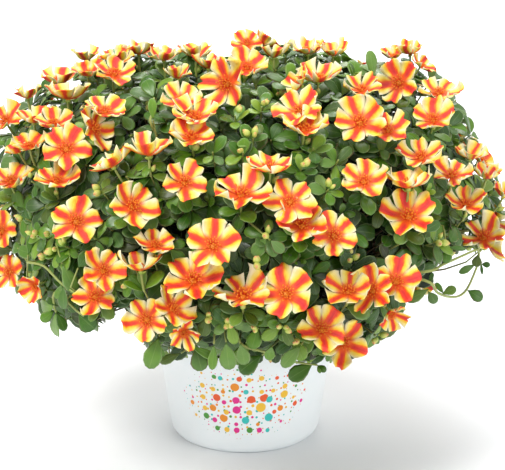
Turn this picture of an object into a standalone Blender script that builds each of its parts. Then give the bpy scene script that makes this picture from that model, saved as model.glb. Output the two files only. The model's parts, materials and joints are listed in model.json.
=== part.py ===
"""A potted portulaca in flower: pot, soil, leafy stems and sprays of open blooms.

The front blooms stand where the photograph shows them. The blooms at the back and
the leaf whorls are placed by a seeded rule, clear of everything placed before them.
"""
import math
import random

import bmesh
import bpy
from mathutils import Matrix, Vector
from mathutils.bvhtree import BVHTree

for old in list(bpy.data.objects):
    bpy.data.objects.remove(old, do_unlink=True)

# Pot and soil
RIM_RADIUS = 0.0848
RIM_HEIGHT = 0.118
BASE_RADIUS = 0.0605
FLOOR = 0.0045
ROUND_STEPS = 36
DRAIN_RADIUS = 0.0045
DRAIN_CIRCLE = 0.038
SOIL_TOP = 0.1055
GAP = 0.0003
HOLE_RADIUS = 0.0034
HOLE_FLOOR = 0.080
STEM_RADIUS = 0.0020

# The mound of leaves and blooms
CROWN = Vector((0.0, 0.0, 0.150))
MOUND_MIDDLE = 0.200
MOUND_RADIUS = 0.213
MOUND_UP = 0.147
MOUND_DOWN = 0.105
MOUND_POWER = 2.5
CORE_SHARE = 0.66
CORE_FLOOR = 0.134
CORE_INNER = 0.045
TUFT = (1.10, 1.22)
SEAM = 0.0024
UPPER_STEMS = 5
LOWER_STEMS = 9

# Blooms and leaves
BLOOM_SCALE = 0.00086
BACK_BLOOMS = 50
SPRAY_LIMIT = 42
FORK_RADIUS = 0.0036
STALK_RADIUS = 0.0014
STALK_LIMIT = math.radians(92)
WHORLS = 78
SEED = 11

# The photograph's camera: target, distance, angle above level, focal length in pixels
TARGET = Vector((0.0065, 0.0, 0.1785))
DISTANCE = 1.5
ELEVATION = math.radians(16.5)
FOCAL = 1724.0
PICTURE_MIDDLE = (252.5, 235.0)

# Blooms seen in front, read by eye: across, down, width in pixels, then degrees that
# the face is turned up from the camera and towards the right
SEEN_BLOOMS = (
    (139, 54, 38, 82, 5), (117, 63, 36, 75, -5), (86, 60, 32, 78, -20),
    (114, 75, 44, 55, 10), (88, 75, 36, 68, -10), (60, 82, 44, 72, -15),
    (68, 99, 46, 88, 0), (28, 98, 26, 80, -40), (6, 121, 40, 45, -25),
    (34, 122, 36, 72, -15), (54, 125, 40, 62, -5), (66, 149, 50, 22, -5),
    (94, 129, 46, 20, 50), (105, 112, 44, 60, 15), (30, 147, 40, 65, -15),
    (19, 152, 24, 60, -60), (11, 182, 46, 55, -20), (56, 182, 46, 60, 0),
    (113, 166, 48, 60, -75), (149, 155, 46, 80, -5), (132, 207, 50, 25, 25),
    (181, 102, 42, 45, 0), (164, 60, 36, 76, -10), (196, 57, 38, 78, 5),
    (208, 68, 30, 85, 15), (178, 78, 26, 78, -10), (195, 118, 44, 55, 0),
    (192, 138, 44, 55, -5), (227, 84, 52, 5, -30), (247, 68, 42, 50, 15),
    (247, 44, 34, 45, -5), (263, 44, 26, 50, 80), (274, 57, 30, 82, 5),
    (308, 53, 40, 75, -5), (333, 55, 34, 72, 10), (318, 80, 44, 68, 0),
    (300, 85, 38, 30, -70), (300, 112, 46, 40, -20), (304, 130, 46, 60, 5),
    (270, 169, 46, 65, 0), (184, 183, 44, 30, 15), (241, 195, 54, 50, 0),
    (290, 202, 46, 25, 0), (302, 226, 48, 35, 5), (334, 236, 44, 15, 15),
    (213, 246, 50, 25, -5), (193, 281, 54, 35, 0), (243, 297, 53, 48, 0),
    (286, 294, 52, 22, 0), (103, 271, 44, 25, 5), (95, 297, 44, 20, -10),
    (76, 222, 51, 20, 0), (2, 231, 40, 15, -30), (10, 272, 40, 10, -40),
    (36, 286, 24, -20, -40), (155, 246, 40, 50, 10), (141, 270, 44, 82, -20),
    (147, 320, 46, 10, -15), (172, 309, 42, 25, 35), (184, 332, 24, -30, 0),
    (360, 123, 52, 32, -5), (388, 131, 38, 40, 10), (362, 90, 38, 55, -5),
    (399, 83, 47, 15, -25), (394, 58, 24, 70, -20), (410, 54, 30, 75, -10),
    (421, 66, 32, 50, 55), (439, 94, 46, 60, 5), (433, 120, 44, 43, 0),
    (421, 158, 44, 49, 0), (452, 176, 40, 50, 0), (470, 158, 36, 70, 20),
    (486, 178, 30, 65, 25), (466, 205, 42, 50, 0), (484, 238, 46, 42, 0),
    (503, 197, 24, 60, 50), (364, 182, 45, 37, 0), (408, 187, 48, 78, 0),
    (409, 217, 54, 37, 0), (348, 292, 47, 44, 0), (373, 291, 46, 15, -20),
    (396, 282, 48, 20, 5), (391, 314, 28, -35, 35), (322, 330, 48, 25, 15),
    (343, 343, 48, 5, 10),
)

# Shoots that trail or stand clear of the mound: points across and down in pixels, the
# share of the mound's reach at the last point, and leaves along them
SEEN_SHOOTS = (
    (((424, 272), (444, 264), (462, 256), (478, 250)), 1.08, 5),
    (((424, 280), (438, 293), (455, 296), (468, 286), (477, 266)), 1.04, 6),
    (((30, 262), (48, 276), (66, 284), (80, 296)), 1.04, 4),
    (((66, 296), (72, 308), (80, 318)), 1.03, 5),
    (((372, 90), (373, 82), (373, 72)), 1.02, 3),
    (((262, 336), (282, 350), (300, 358), (314, 363)), 1.00, 5),
    (((152, 126), (154, 112), (154, 98)), 1.02, 2),
    (((146, 334), (150, 344), (152, 354)), 1.00, 2),
)

# The picture's edge of the foliage, above and below: nothing placed by rule shows past it
TOP_EDGE = (
    (0, 105), (40, 75), (80, 54), (120, 42), (210, 44), (225, 58), (236, 40), (275, 34),
    (290, 42), (345, 46), (360, 62), (385, 48), (425, 48), (445, 66), (465, 95),
    (480, 140), (505, 180),
)
LOW_EDGE = (
    (0, 290), (30, 292), (45, 326), (100, 330), (122, 300), (138, 330), (152, 360),
    (340, 366), (372, 346), (396, 330), (408, 302), (430, 272), (460, 250), (505, 244),
)

model = bpy.data.collections.new("portulaca")
cutters = bpy.data.collections.new("cutters")
bpy.context.scene.collection.children.link(model)
bpy.context.scene.collection.children.link(cutters)


def make_material(name, colour, roughness):
    material = bpy.data.materials.new(name)
    material.use_nodes = True
    shader = material.node_tree.nodes["Principled BSDF"]
    shader.inputs["Base Color"].default_value = (*colour, 1.0)
    shader.inputs["Roughness"].default_value = roughness
    shader.inputs["Metallic"].default_value = 0.0
    material.diffuse_color = (*colour, 1.0)
    return material


def make_object(name, points, faces, collection=model):
    mesh = bpy.data.meshes.new(name)
    mesh.from_pydata([tuple(p) for p in points], [], faces)
    mesh.update()
    made = bpy.data.objects.new(name, mesh)
    collection.objects.link(made)
    return made


def apply_modifiers(target):
    graph = bpy.context.evaluated_depsgraph_get()
    mesh = bpy.data.meshes.new_from_object(target.evaluated_get(graph))
    target.modifiers.clear()
    old_mesh = target.data
    target.data = mesh
    mesh.name = target.name
    bpy.data.meshes.remove(old_mesh)


def finish_object(target, colour, roughness, sharp=40.0):
    target.data.materials.clear()
    target.data.materials.append(make_material(target.name, colour, roughness))
    target.data.shade_smooth()
    target.data.set_sharp_from_angle(angle=math.radians(sharp))


def join_pieces(body, pieces, solver="EXACT"):
    """Fuses a node's pieces to its body with one union, then removes them."""
    group = bpy.data.collections.new("pieces")
    bpy.context.scene.collection.children.link(group)
    for piece in pieces:
        for holder in list(piece.users_collection):
            holder.objects.unlink(piece)
        group.objects.link(piece)
    union = body.modifiers.new("union", "BOOLEAN")
    union.operation = "UNION"
    union.operand_type = "COLLECTION"
    union.collection = group
    union.solver = solver
    if solver == "EXACT":
        union.use_self = True
    apply_modifiers(body)
    for piece in pieces:
        bpy.data.objects.remove(piece, do_unlink=True)
    bpy.data.collections.remove(group)
    keep_largest(body)


def keep_largest(body):
    """Drops anything that the union left loose, and faces too thin to hold a shape."""
    shape = bmesh.new()
    shape.from_mesh(body.data)
    bmesh.ops.triangulate(shape, faces=shape.faces[:])
    islands, seen = [], set()
    for start in shape.verts:
        if start in seen:
            continue
        island, wave = [], [start]
        seen.add(start)
        while wave:
            vertex = wave.pop()
            island.append(vertex)
            for edge in vertex.link_edges:
                other = edge.other_vert(vertex)
                if other not in seen:
                    seen.add(other)
                    wave.append(other)
        islands.append(island)
    islands.sort(key=len)
    for island in islands[:-1]:
        print(body.name, "loose piece dropped", len(island))
        bmesh.ops.delete(shape, geom=island, context="VERTS")
    shape.to_mesh(body.data)
    shape.free()


def turn_profile(name, profile):
    """Turns a profile about the Z axis into a closed solid."""
    points = [(x, 0.0, z) for x, z in profile]
    edges = [(i, i + 1) for i in range(len(points) - 1)]
    mesh = bpy.data.meshes.new(name)
    mesh.from_pydata(points, edges, [])
    turned = bpy.data.objects.new(name, mesh)
    model.objects.link(turned)
    screw = turned.modifiers.new("screw", "SCREW")
    screw.steps = ROUND_STEPS
    screw.render_steps = ROUND_STEPS
    screw.use_merge_vertices = True
    screw.merge_threshold = 0.00001
    screw.use_smooth_shade = False
    apply_modifiers(turned)
    return turned


def cut_rods(target, places, radius, bottom, top, sides):
    for number, (x, y) in enumerate(places):
        bpy.ops.mesh.primitive_cylinder_add(
            vertices=sides, radius=radius, depth=top - bottom,
            location=(x, y, (top + bottom) / 2))
        rod = bpy.context.object
        rod.name = f"{target.name}_cut_{number}"
        for holder in list(rod.users_collection):
            holder.objects.unlink(rod)
        cutters.objects.link(rod)
        rod.hide_render = True
        rod.display_type = "WIRE"
        cut = target.modifiers.new("cut", "BOOLEAN")
        cut.operation = "DIFFERENCE"
        cut.object = rod
        cut.solver = "EXACT"
    apply_modifiers(target)


def outside(point):
    """Below zero inside the mound, above zero outside it."""
    height = point.z - MOUND_MIDDLE
    half = MOUND_UP if height > 0 else MOUND_DOWN
    across = math.hypot(point.x, point.y) / MOUND_RADIUS
    return across ** MOUND_POWER + abs(height / half) ** MOUND_POWER - 1.0


def reach(direction):
    """How far the mound's skin lies from the crown along a direction."""
    near, far = 0.0, 0.5
    for _ in range(30):
        middle = (near + far) / 2
        if outside(CROWN + direction * middle) < 0:
            near = middle
        else:
            far = middle
    return near


def skin_normal(point):
    step = 0.0005
    slope = Vector((
        outside(point + Vector((step, 0, 0))) - outside(point - Vector((step, 0, 0))),
        outside(point + Vector((0, step, 0))) - outside(point - Vector((0, step, 0))),
        outside(point + Vector((0, 0, step))) - outside(point - Vector((0, 0, step)))))
    return slope.normalized()


LENS = TARGET + DISTANCE * Vector((0, -math.cos(ELEVATION), math.sin(ELEVATION)))
AHEAD = (TARGET - LENS).normalized()
RIGHT = Vector((1, 0, 0))
UPWARD = RIGHT.cross(AHEAD)


def seen_point(across, down):
    """The point of the mound's skin that shows at a place of the photograph."""
    ray = AHEAD + RIGHT * ((across - PICTURE_MIDDLE[0]) / FOCAL)
    ray = (ray - UPWARD * ((down - PICTURE_MIDDLE[1]) / FOCAL)).normalized()
    best, best_value = None, 1e9
    for step in range(700):
        point = LENS + ray * (1.15 + step * 0.001)
        value = outside(point)
        if value < 0:
            return point
        if value < best_value:
            best, best_value = point, value
    return best


def edge_at(edge, across):
    """How far down the picture an edge lies at a place across it."""
    for (x1, y1), (x2, y2) in zip(edge, edge[1:]):
        if across <= x2:
            return y1 + (y2 - y1) * max(across - x1, 0) / (x2 - x1)
    return edge[-1][1]


def in_picture(point, top=0.0):
    """True if a point lies inside the foliage's edges as the photograph's camera sees it."""
    way = point - LENS
    depth = way.dot(AHEAD)
    across = PICTURE_MIDDLE[0] + FOCAL * way.dot(RIGHT) / depth
    down = PICTURE_MIDDLE[1] - FOCAL * way.dot(UPWARD) / depth
    return edge_at(TOP_EDGE, across) + top <= down <= edge_at(LOW_EDGE, across) + 2


def facing(point, up_angle, side_angle):
    """A direction turned up and to the right from one that faces the camera."""
    near = (LENS - point).normalized()
    side = UPWARD.cross(near).normalized()
    above = near.cross(side).normalized()
    up_angle, side_angle = math.radians(up_angle), math.radians(side_angle)
    level = near * math.cos(side_angle) + side * math.sin(side_angle)
    return (level * math.cos(up_angle) + above * math.sin(up_angle)).normalized()


def frame_of(direction, turn):
    """A turned frame whose Z axis lies along a direction."""
    across = direction.orthogonal().normalized()
    matrix = Matrix((across, direction.cross(across), direction)).transposed()
    return matrix @ Matrix.Rotation(turn, 3, "Z")


def zip_rings(outer, inner):
    """Triangles between a closed outer ring and a smaller ring that it goes round."""
    faces = []
    many, few = len(outer), len(inner)
    i = j = 0
    while i < many or j < few:
        if j < few and (i == many or (j + 0.5) / few <= (i + 0.5) / many):
            faces.append((inner[j % few], inner[(j + 1) % few], outer[i % many]))
            j += 1
        else:
            faces.append((inner[j % few], outer[(i + 1) % many], outer[i % many]))
            i += 1
    return faces


def bind_stalk(points, faces, ring, path):
    """Adds a three-sided stalk below a ring of points, and closes its end."""
    places = ring
    for middle, radius, way in path:
        first = len(points)
        corners = [middle + way @ Vector((radius * math.cos(a), radius * math.sin(a), 0))
                   for a in (0, 2 * math.pi / 3, 4 * math.pi / 3)]
        points.extend(corners)
        new = [first, first + 1, first + 2]
        if len(places) > 3:
            faces.extend(zip_rings(places, new))
        else:
            for k in range(3):
                a, b = places[k], places[(k + 1) % 3]
                c, d = new[(k + 1) % 3], new[k]
                faces.extend(((a, d, c), (a, c, b)))
        places = new
    faces.append((places[0], places[2], places[1]))


def carry_frame(matrix, direction):
    """Turns a frame by the least angle so that its Z axis lies along a direction."""
    turn = matrix.col[2].rotation_difference(direction)
    return turn.to_matrix() @ matrix


class Bloom:
    """An open bloom: five notched petals round a low boss, on a stalk."""

    def __init__(self, place, normal, radius, cup, turn):
        self.place, self.normal, self.radius = place, normal, radius
        self.cup, self.turn = cup, turn
        self.fork = None

    def join_to(self, fork):
        """Sets the stalk's foot, and turns the face so that the stalk stays behind it."""
        self.fork = fork
        way = (self.place - fork).normalized()
        angle = way.angle(self.normal)
        if angle > STALK_LIMIT:
            turn = self.normal.rotation_difference(way)
            turn = Matrix.Rotation(angle - STALK_LIMIT, 3, turn.axis)
            self.normal = (turn @ self.normal).normalized()

    def solid(self, grow=0.0, stalk=True):
        matrix = frame_of(self.normal, self.turn)
        size = self.radius
        shape = ((-36, 0.44, 0.34), (-19, 1.0, 1.0), (0, 0.88, 0.86), (19, 1.0, 1.0))
        points, faces = [], []
        for petal in range(5):
            lift = 1.0 + 0.18 * math.sin(2.4 * petal + self.turn * 3)
            for angle, share, height in shape:
                around = math.radians(72 * petal + angle)
                points.append(Vector((
                    share * size * math.cos(around) * (1 + grow),
                    share * size * math.sin(around) * (1 + grow),
                    height * self.cup * size * lift)))
        top = len(points)
        points.append(Vector((0, 0, 0.06 * size + grow * size)))
        faces.extend((k, (k + 1) % 20, top) for k in range(20))
        points = [self.place + matrix @ p for p in points]
        thick = STALK_RADIUS + grow * size * 0.6
        base = self.place - self.normal * (0.17 + grow) * size
        path = [(base, thick * 1.3, matrix)]
        if stalk and self.fork is not None:
            neck = base - self.normal * 0.008
            way = (neck - self.fork).normalized()
            bend = (way + self.normal).normalized()
            frame = carry_frame(matrix, bend)
            if way.angle(self.normal) > 1.0:
                path.append((neck, thick, frame))
            path.append((self.fork, thick, carry_frame(frame, way)))
        bind_stalk(points, faces, list(range(20)), path)
        return points, faces


def tree_of(points, faces):
    return BVHTree.FromPolygons([tuple(p) for p in points], faces)


def grown(points, faces, amount):
    """The same solid with every corner moved outward by an amount."""
    normals = [Vector() for _ in points]
    for face in faces:
        a, b, c = (points[k] for k in face)
        way = (b - a).cross(c - a)
        for k in face:
            normals[k] += way
    return [p + n.normalized() * amount if n.length else p
            for p, n in zip(points, normals)]


def clear_of(tree, others):
    return not any(tree.overlap(other) for other in others)


# Pot: the profile goes up inside, over the lip and down the outer side to the middle
pot = turn_profile("pot", (
    (0.0, FLOOR), (0.0580, FLOOR), (0.0625, FLOOR + 0.0035), (0.0796, 0.1080),
    (0.0806, 0.1165), (0.0816, RIM_HEIGHT), (0.0836, RIM_HEIGHT),
    (RIM_RADIUS, RIM_HEIGHT - 0.0016), (RIM_RADIUS, 0.1100), (0.0820, 0.1078),
    (0.0722, 0.0500), (0.0663, 0.0085), (0.0645, 0.0030), (BASE_RADIUS, 0.0), (0.0, 0.0)))
drain_places = [(DRAIN_CIRCLE * math.cos(a), DRAIN_CIRCLE * math.sin(a))
                for a in (math.radians(45 + 90 * k) for k in range(4))]
cut_rods(pot, drain_places, DRAIN_RADIUS, -0.01, 0.01, 12)
finish_object(pot, (0.80, 0.83, 0.86), 0.45)
pot_tree = tree_of([v.co.copy() for v in pot.data.vertices],
                   [tuple(p.vertices) for p in pot.data.polygons])

# Directions of the leafy stems from the crown: one up, a ring above, a ring below
ways = [Vector((0, 0, 1))]
feet = [(0.0, 0.0)]
for number in range(UPPER_STEMS):
    around = math.radians(-90 + 360 / UPPER_STEMS * number)
    tall = math.radians(46)
    ways.append(Vector((math.cos(tall) * math.cos(around),
                        math.cos(tall) * math.sin(around), math.sin(tall))))
    feet.append((0.021 * math.cos(around), 0.021 * math.sin(around)))
for number in range(LOWER_STEMS):
    around = math.radians(-90 + 360 / LOWER_STEMS * (number + 0.5))
    tall = math.radians(2)
    ways.append(Vector((math.cos(tall) * math.cos(around),
                        math.cos(tall) * math.sin(around), math.sin(tall))))
    feet.append((0.052 * math.cos(around), 0.052 * math.sin(around)))

soil = turn_profile("soil", (
    (0.0, SOIL_TOP + 0.001), (0.045, SOIL_TOP + 0.0005), (0.0786, SOIL_TOP - 0.0008),
    (0.06215, FLOOR + 0.0038), (0.0577, FLOOR + GAP), (0.0, FLOOR + GAP)))
cut_rods(soil, feet, HOLE_RADIUS, HOLE_FLOOR, 0.12, 6)
finish_object(soil, (0.055, 0.035, 0.024), 0.95)


def cell_of(direction):
    return max(range(len(ways)), key=lambda k: ways[k].dot(direction))


tuft_draws = random.Random(SEED + 1)


def make_core(number):
    """The small inner mass of one stem's leaves, kept off its neighbours' by a seam."""
    shape = bmesh.new()
    bmesh.ops.create_icosphere(shape, subdivisions=3, radius=1.0)
    for vertex in shape.verts:
        way = vertex.co.normalized()
        vertex.co = CROWN + way * reach(way) * CORE_SHARE
    planes = [(CROWN + Vector((0, 0, CORE_FLOOR - CROWN.z)), Vector((0, 0, -1))),
              (CROWN + ways[number] * CORE_INNER, -ways[number])]
    for other in range(len(ways)):
        if other != number and ways[other].dot(ways[number]) > 0.0:
            apart = (ways[other] - ways[number]).normalized()
            planes.append((CROWN - apart * SEAM / 2, apart))
    for place, normal in planes:
        everything = shape.verts[:] + shape.edges[:] + shape.faces[:]
        bmesh.ops.bisect_plane(shape, geom=everything, plane_co=place, plane_no=normal,
                               clear_outer=True)
        rim = [edge for edge in shape.edges if edge.is_boundary]
        if rim:
            bmesh.ops.contextual_create(shape, geom=rim)
    bmesh.ops.remove_doubles(shape, verts=shape.verts[:], dist=0.0006)
    bmesh.ops.dissolve_degenerate(shape, edges=shape.edges[:], dist=0.0004)
    bmesh.ops.recalc_face_normals(shape, faces=shape.faces[:])
    shape.normal_update()
    walls = [normal for _, normal in planes]
    tufts = [face for face in shape.faces
             if face.calc_area() > 0.00022
             and all(face.normal.dot(wall) < 0.99 for wall in walls)]
    made = bmesh.ops.poke(shape, faces=tufts)
    for vertex in made["verts"]:
        vertex.co = CROWN + (vertex.co - CROWN) * tuft_draws.uniform(*TUFT)
    bmesh.ops.triangulate(shape, faces=shape.faces[:])
    bmesh.ops.recalc_face_normals(shape, faces=shape.faces[:])
    name = f"leafy_stem_{number + 1:02d}"
    mesh = bpy.data.meshes.new(name)
    shape.to_mesh(mesh)
    shape.free()
    core = bpy.data.objects.new(name, mesh)
    model.objects.link(core)
    return core


def stem_path(number):
    """Points of a main stem from its hole in the soil to inside its core."""
    x, y = feet[number]
    foot = Vector((x, y, HOLE_FLOOR + GAP))
    if number == 0:
        return [foot, Vector((0.001, 0.001, 0.125)), Vector((-0.001, 0.001, 0.165)),
                CROWN + ways[0] * (CORE_INNER + 0.016)]
    if number <= UPPER_STEMS:
        inner = CROWN + ways[number] * (CORE_INNER + 0.016)
        return [foot, Vector((x, y, 0.126)), Vector((x * 1.05, y * 1.05, 0.160)), inner]
    side = Vector((x, y, 0)).normalized()
    return [foot, Vector((x, y, 0.118)), side * 0.060 + Vector((0, 0, 0.134)),
            side * 0.074 + Vector((0, 0, 0.146))]


def make_tube(name, path, radius, end_share=0.8):
    """A stem along a path, made from a bevelled curve with closed ends."""
    curve = bpy.data.curves.new(name, "CURVE")
    curve.dimensions = "3D"
    curve.bevel_depth = radius
    curve.bevel_resolution = 0
    curve.use_fill_caps = True
    line = curve.splines.new("POLY")
    line.points.add(len(path) - 1)
    for place, (point, spot) in enumerate(zip(line.points, path)):
        point.co = (*spot, 1.0)
        point.radius = 1.0 + (end_share - 1.0) * place / (len(path) - 1)
    curved = bpy.data.objects.new(name, curve)
    model.objects.link(curved)
    graph = bpy.context.evaluated_depsgraph_get()
    mesh = bpy.data.meshes.new_from_object(curved.evaluated_get(graph))
    bpy.data.objects.remove(curved, do_unlink=True)
    bpy.data.curves.remove(curve)
    shape = bmesh.new()
    shape.from_mesh(mesh)
    bmesh.ops.remove_doubles(shape, verts=shape.verts[:], dist=0.00002)
    bmesh.ops.triangulate(shape, faces=shape.faces[:])
    bmesh.ops.recalc_face_normals(shape, faces=shape.faces[:])
    shape.to_mesh(mesh)
    shape.free()
    tube = bpy.data.objects.new(name, mesh)
    model.objects.link(tube)
    return tube


def parts_of(target):
    return ([v.co.copy() for v in target.data.vertices],
            [tuple(p.vertices) for p in target.data.polygons])


cores, core_trees = [], []
for number in range(len(ways)):
    core = make_core(number)
    cores.append(core)
    points, faces = parts_of(core)
    core_trees.append(tree_of(points, faces))
all_points, all_faces = [], []
for core in cores:
    points, faces = parts_of(core)
    first = len(all_points)
    all_points.extend(points)
    all_faces.extend(tuple(first + k for k in face) for face in faces)
all_cores = tree_of(all_points, all_faces)

# Blooms: those seen, then those behind at the same spacing
def cup_for(up_angle, width, draws):
    """How far the petals rise for their length: deeper where the photograph shows a side."""
    if width < 32:
        return 0.70
    if up_angle < 30:
        return draws.uniform(0.28, 0.38)
    return draws.uniform(0.36, 0.48) if up_angle < 66 else draws.uniform(0.50, 0.66)


draws = random.Random(SEED)
blooms = []
for across, down, width, up_angle, side_angle in SEEN_BLOOMS:
    point = seen_point(across, down)
    normal = facing(point, up_angle, side_angle)
    size = BLOOM_SCALE * width / 2
    if width < 32:
        size = max(size, 0.0125)
    cup = cup_for(up_angle, width, draws)
    blooms.append(Bloom(point, normal, size, cup, draws.uniform(0, 6.28)))
for _ in range(BACK_BLOOMS):
    point, widest = None, 0.0
    for _ in range(60):
        around = draws.uniform(-0.25, math.pi + 0.25)
        tall = math.asin(draws.uniform(-0.2, 1.0))
        way = Vector((math.cos(tall) * math.cos(around),
                      math.cos(tall) * math.sin(around), math.sin(tall)))
        spot = CROWN + way * reach(way) * draws.uniform(0.97, 1.02)
        if (skin_normal(spot).dot((LENS - spot).normalized()) > 0.1
                or spot.z < 0.115 or not in_picture(spot, 17)):
            continue
        space = min((spot - other.place).length for other in blooms)
        if space > widest:
            point, widest = spot, space
    normal = (skin_normal(point) + Vector((
        draws.uniform(-0.3, 0.3), draws.uniform(-0.3, 0.3),
        draws.uniform(0.1, 0.7)))).normalized()
    blooms.append(Bloom(point, normal, draws.uniform(0.0185, 0.0222),
                        draws.uniform(0.30, 0.50), draws.uniform(0, 6.28)))
print("blooms", len(blooms), "last spacing", round(widest, 4))


def fork_for(members):
    """The place where a spray's stalks meet, just off the leaves' inner mass."""
    middle = sum((blooms[k].place for k in members), Vector()) / len(members)
    way = (middle - CROWN).normalized()
    place = CROWN + way * reach(way) * 0.9
    for _ in range(12):
        spot, _, _, gap = all_cores.find_nearest(place)
        if gap < FORK_RADIUS + 0.0005:
            place += way * 0.0008
        elif gap > FORK_RADIUS + 0.0012:
            place -= way * min(gap - FORK_RADIUS - 0.0006, 0.03)
    return place


def ball_solid(middle, radius, turn):
    """A small eight-faced knot where stalks meet."""
    matrix = Matrix.Rotation(turn, 3, (0.3, 0.5, 0.8))
    points = [middle + matrix @ Vector(way) * radius for way in (
        (1, 0, 0), (0, 1, 0), (-1, 0, 0), (0, -1, 0), (0, 0, 1), (0, 0, -1))]
    faces = [(k, (k + 1) % 4, 4) for k in range(4)]
    faces += [((k + 1) % 4, k, 5) for k in range(4)]
    return points, faces


def spray_solid(members):
    """Gives a spray its fork, clear of the leaves' inner mass, and returns its faces."""
    fork = fork_for(members)
    way = (sum((blooms[k].place for k in members), Vector()) / len(members)
           - CROWN).normalized()
    for step in range(11):
        points, faces = ball_solid(fork + way * 0.004 * step, FORK_RADIUS + 0.0006, 0.0)
        for k in members:
            blooms[k].join_to(fork + way * 0.004 * step)
            new_points, new_faces = blooms[k].solid()
            new_points = grown(new_points, new_faces, 0.0006)
            first = len(points)
            points.extend(new_points)
            faces.extend(tuple(first + c for c in face) for face in new_faces)
        tree = tree_of(points, faces)
        if not tree.overlap(all_cores):
            break
    return tree


def join_sprays(groups):
    """Joins sprays whose blooms or stalks touch, until none do."""
    changed = True
    while changed:
        changed = False
        trees = [spray_solid(members) for members in groups]
        parent = list(range(len(groups)))

        def root(k):
            while parent[k] != k:
                k = parent[k]
            return k
        for a in range(len(groups)):
            for b in range(a):
                if trees[a].overlap(trees[b]) and root(a) != root(b):
                    parent[root(a)] = root(b)
                    changed = True
        joined = {}
        for k, members in enumerate(groups):
            joined.setdefault(root(k), []).extend(members)
        groups = list(joined.values())
    return groups


def gather_sprays(groups, limit):
    """Joins the nearest small sprays until no more than a limit are left."""
    while len(groups) > limit:
        middles = [sum((blooms[k].place for k in g), Vector()) / len(g) for g in groups]
        best, pair = 1e9, None
        for a in range(len(groups)):
            for b in range(a):
                cost = ((middles[a] - middles[b]).length
                        + 0.011 * (len(groups[a]) + len(groups[b])))
                if cost < best:
                    best, pair = cost, (a, b)
        a, b = pair
        groups[b] = groups[b] + groups[a]
        groups.pop(a)
    return groups


sprays = join_sprays([[k] for k in range(len(blooms))])
print("sprays at first", len(sprays), sorted(len(s) for s in sprays))
sprays = gather_sprays(sprays, SPRAY_LIMIT)
print("gathered", len(sprays), sorted(len(s) for s in sprays))
sprays = join_sprays(sprays)
print("sprays", len(sprays), sorted(len(s) for s in sprays))


def is_closed(body):
    """Whether every edge of a mesh has two faces."""
    shape = bmesh.new()
    shape.from_mesh(body.data)
    good = bool(shape.faces) and all(len(edge.link_faces) == 2 for edge in shape.edges)
    good = good and all(vertex.is_manifold for vertex in shape.verts)
    shape.free()
    return good


def peg_solid(fork):
    """A short foot that brings a fork down to the leafy stem it grows from."""
    spot = all_cores.find_nearest(fork)[0]
    way = (spot - fork).normalized()
    frame = frame_of(-way, 0.4)
    for back in range(14):
        end = spot - way * (0.00036 + 0.0001 * back)
        points = []
        for middle, radius in ((fork, 0.0017), (end, 0.0010)):
            points += [middle + frame @ Vector((radius * math.cos(a),
                                                radius * math.sin(a), 0))
                       for a in (0, 2 * math.pi / 3, 4 * math.pi / 3)]
        faces = [(0, 1, 2), (3, 5, 4)]
        for k in range(3):
            after = (k + 1) % 3
            faces.extend(((k, 3 + k, 3 + after), (k, 3 + after, after)))
        if not tree_of(grown(points, faces, 0.0003), faces).overlap(all_cores):
            break
    return points, faces


def build_spray(number, members):
    """One spray: blooms on stalks that meet in a small fork."""
    name = f"blooms_{number + 1:02d}"
    fork = blooms[members[0]].fork.copy()
    for attempt in range(8):
        body = make_object(name, *ball_solid(fork, FORK_RADIUS, 0.3 * attempt))
        pieces = [make_object(f"{name}_foot", *peg_solid(fork))]
        for place, k in enumerate(members):
            way = (blooms[k].place - fork).normalized()
            side = way.orthogonal() * 0.00004 * (place + attempt)
            blooms[k].fork = fork + way * (0.0005 + 0.00005 * attempt) + side
            points, faces = blooms[k].solid()
            pieces.append(make_object(f"{name}_{place}", points, faces))
        join_pieces(body, pieces, "MANIFOLD" if attempt % 2 else "EXACT")
        if is_closed(body):
            break
        print(name, "joined again")
        bpy.data.objects.remove(body, do_unlink=True)
    finish_object(body, (0.93, 0.72, 0.26), 0.55)
    return body


spray_trees = []
sprays.sort(key=lambda members: -max(blooms[k].place.z for k in members))
for number, members in enumerate(sprays):
    points, faces = parts_of(build_spray(number, members))
    spray_trees.append(tree_of(points, faces))


def whorl_solid(place, normal, turn, leaves, length, width, lift, root, bud, bend):
    """A whorl of blades round a shoot that runs down to its root, in one solid."""
    matrix = frame_of(normal, turn)
    points, faces = [], []
    step = 2 * math.pi / leaves
    for leaf in range(leaves):
        size = length * (1 + 0.12 * math.sin(2.1 * leaf + turn * 5))
        rise = lift * (1 + 0.5 * math.sin(3.3 * leaf + turn * 9))
        for turned, share, half in ((-0.5, 0.14, 0), (0, 0.56, -0.5), (0, 1.0, 0),
                                    (0, 0.56, 0.5)):
            around = step * (leaf + turned)
            along = Vector((math.cos(around), math.sin(around), 0))
            across = Vector((-along.y, along.x, 0))
            spot = along * (size * share) + across * (width * half)
            spot.z = rise * size * share - bend * size * share * share
            points.append(spot)
    count = len(points)
    for leaf in range(leaves):
        side, tip = points[leaf * 4 + 1], points[leaf * 4 + 2]
        other = points[leaf * 4 + 3]
        middle = (side + other) / 2
        points.append(middle * 0.86 + tip * 0.04 + Vector((0, 0, 0.0017)))
    top = len(points)
    points.append(Vector((0, 0, 0.0095 if bud else 0.0016)))
    for leaf in range(leaves):
        first = leaf * 4
        gap, left, tip, right = first, first + 1, first + 2, first + 3
        after, middle = (first + 4) % count, count + leaf
        faces.extend(((top, gap, left), (top, left, middle), (left, tip, middle),
                      (tip, right, middle), (right, top, middle), (right, after, top)))
    points = [place + matrix @ p for p in points]
    way = (place - root).normalized()
    low = place - normal * 0.0030
    path = [(low, 0.0021, matrix), (root, 0.0015, carry_frame(matrix, way))]
    bind_stalk(points, faces, list(range(count)), path)
    return points, faces


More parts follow.
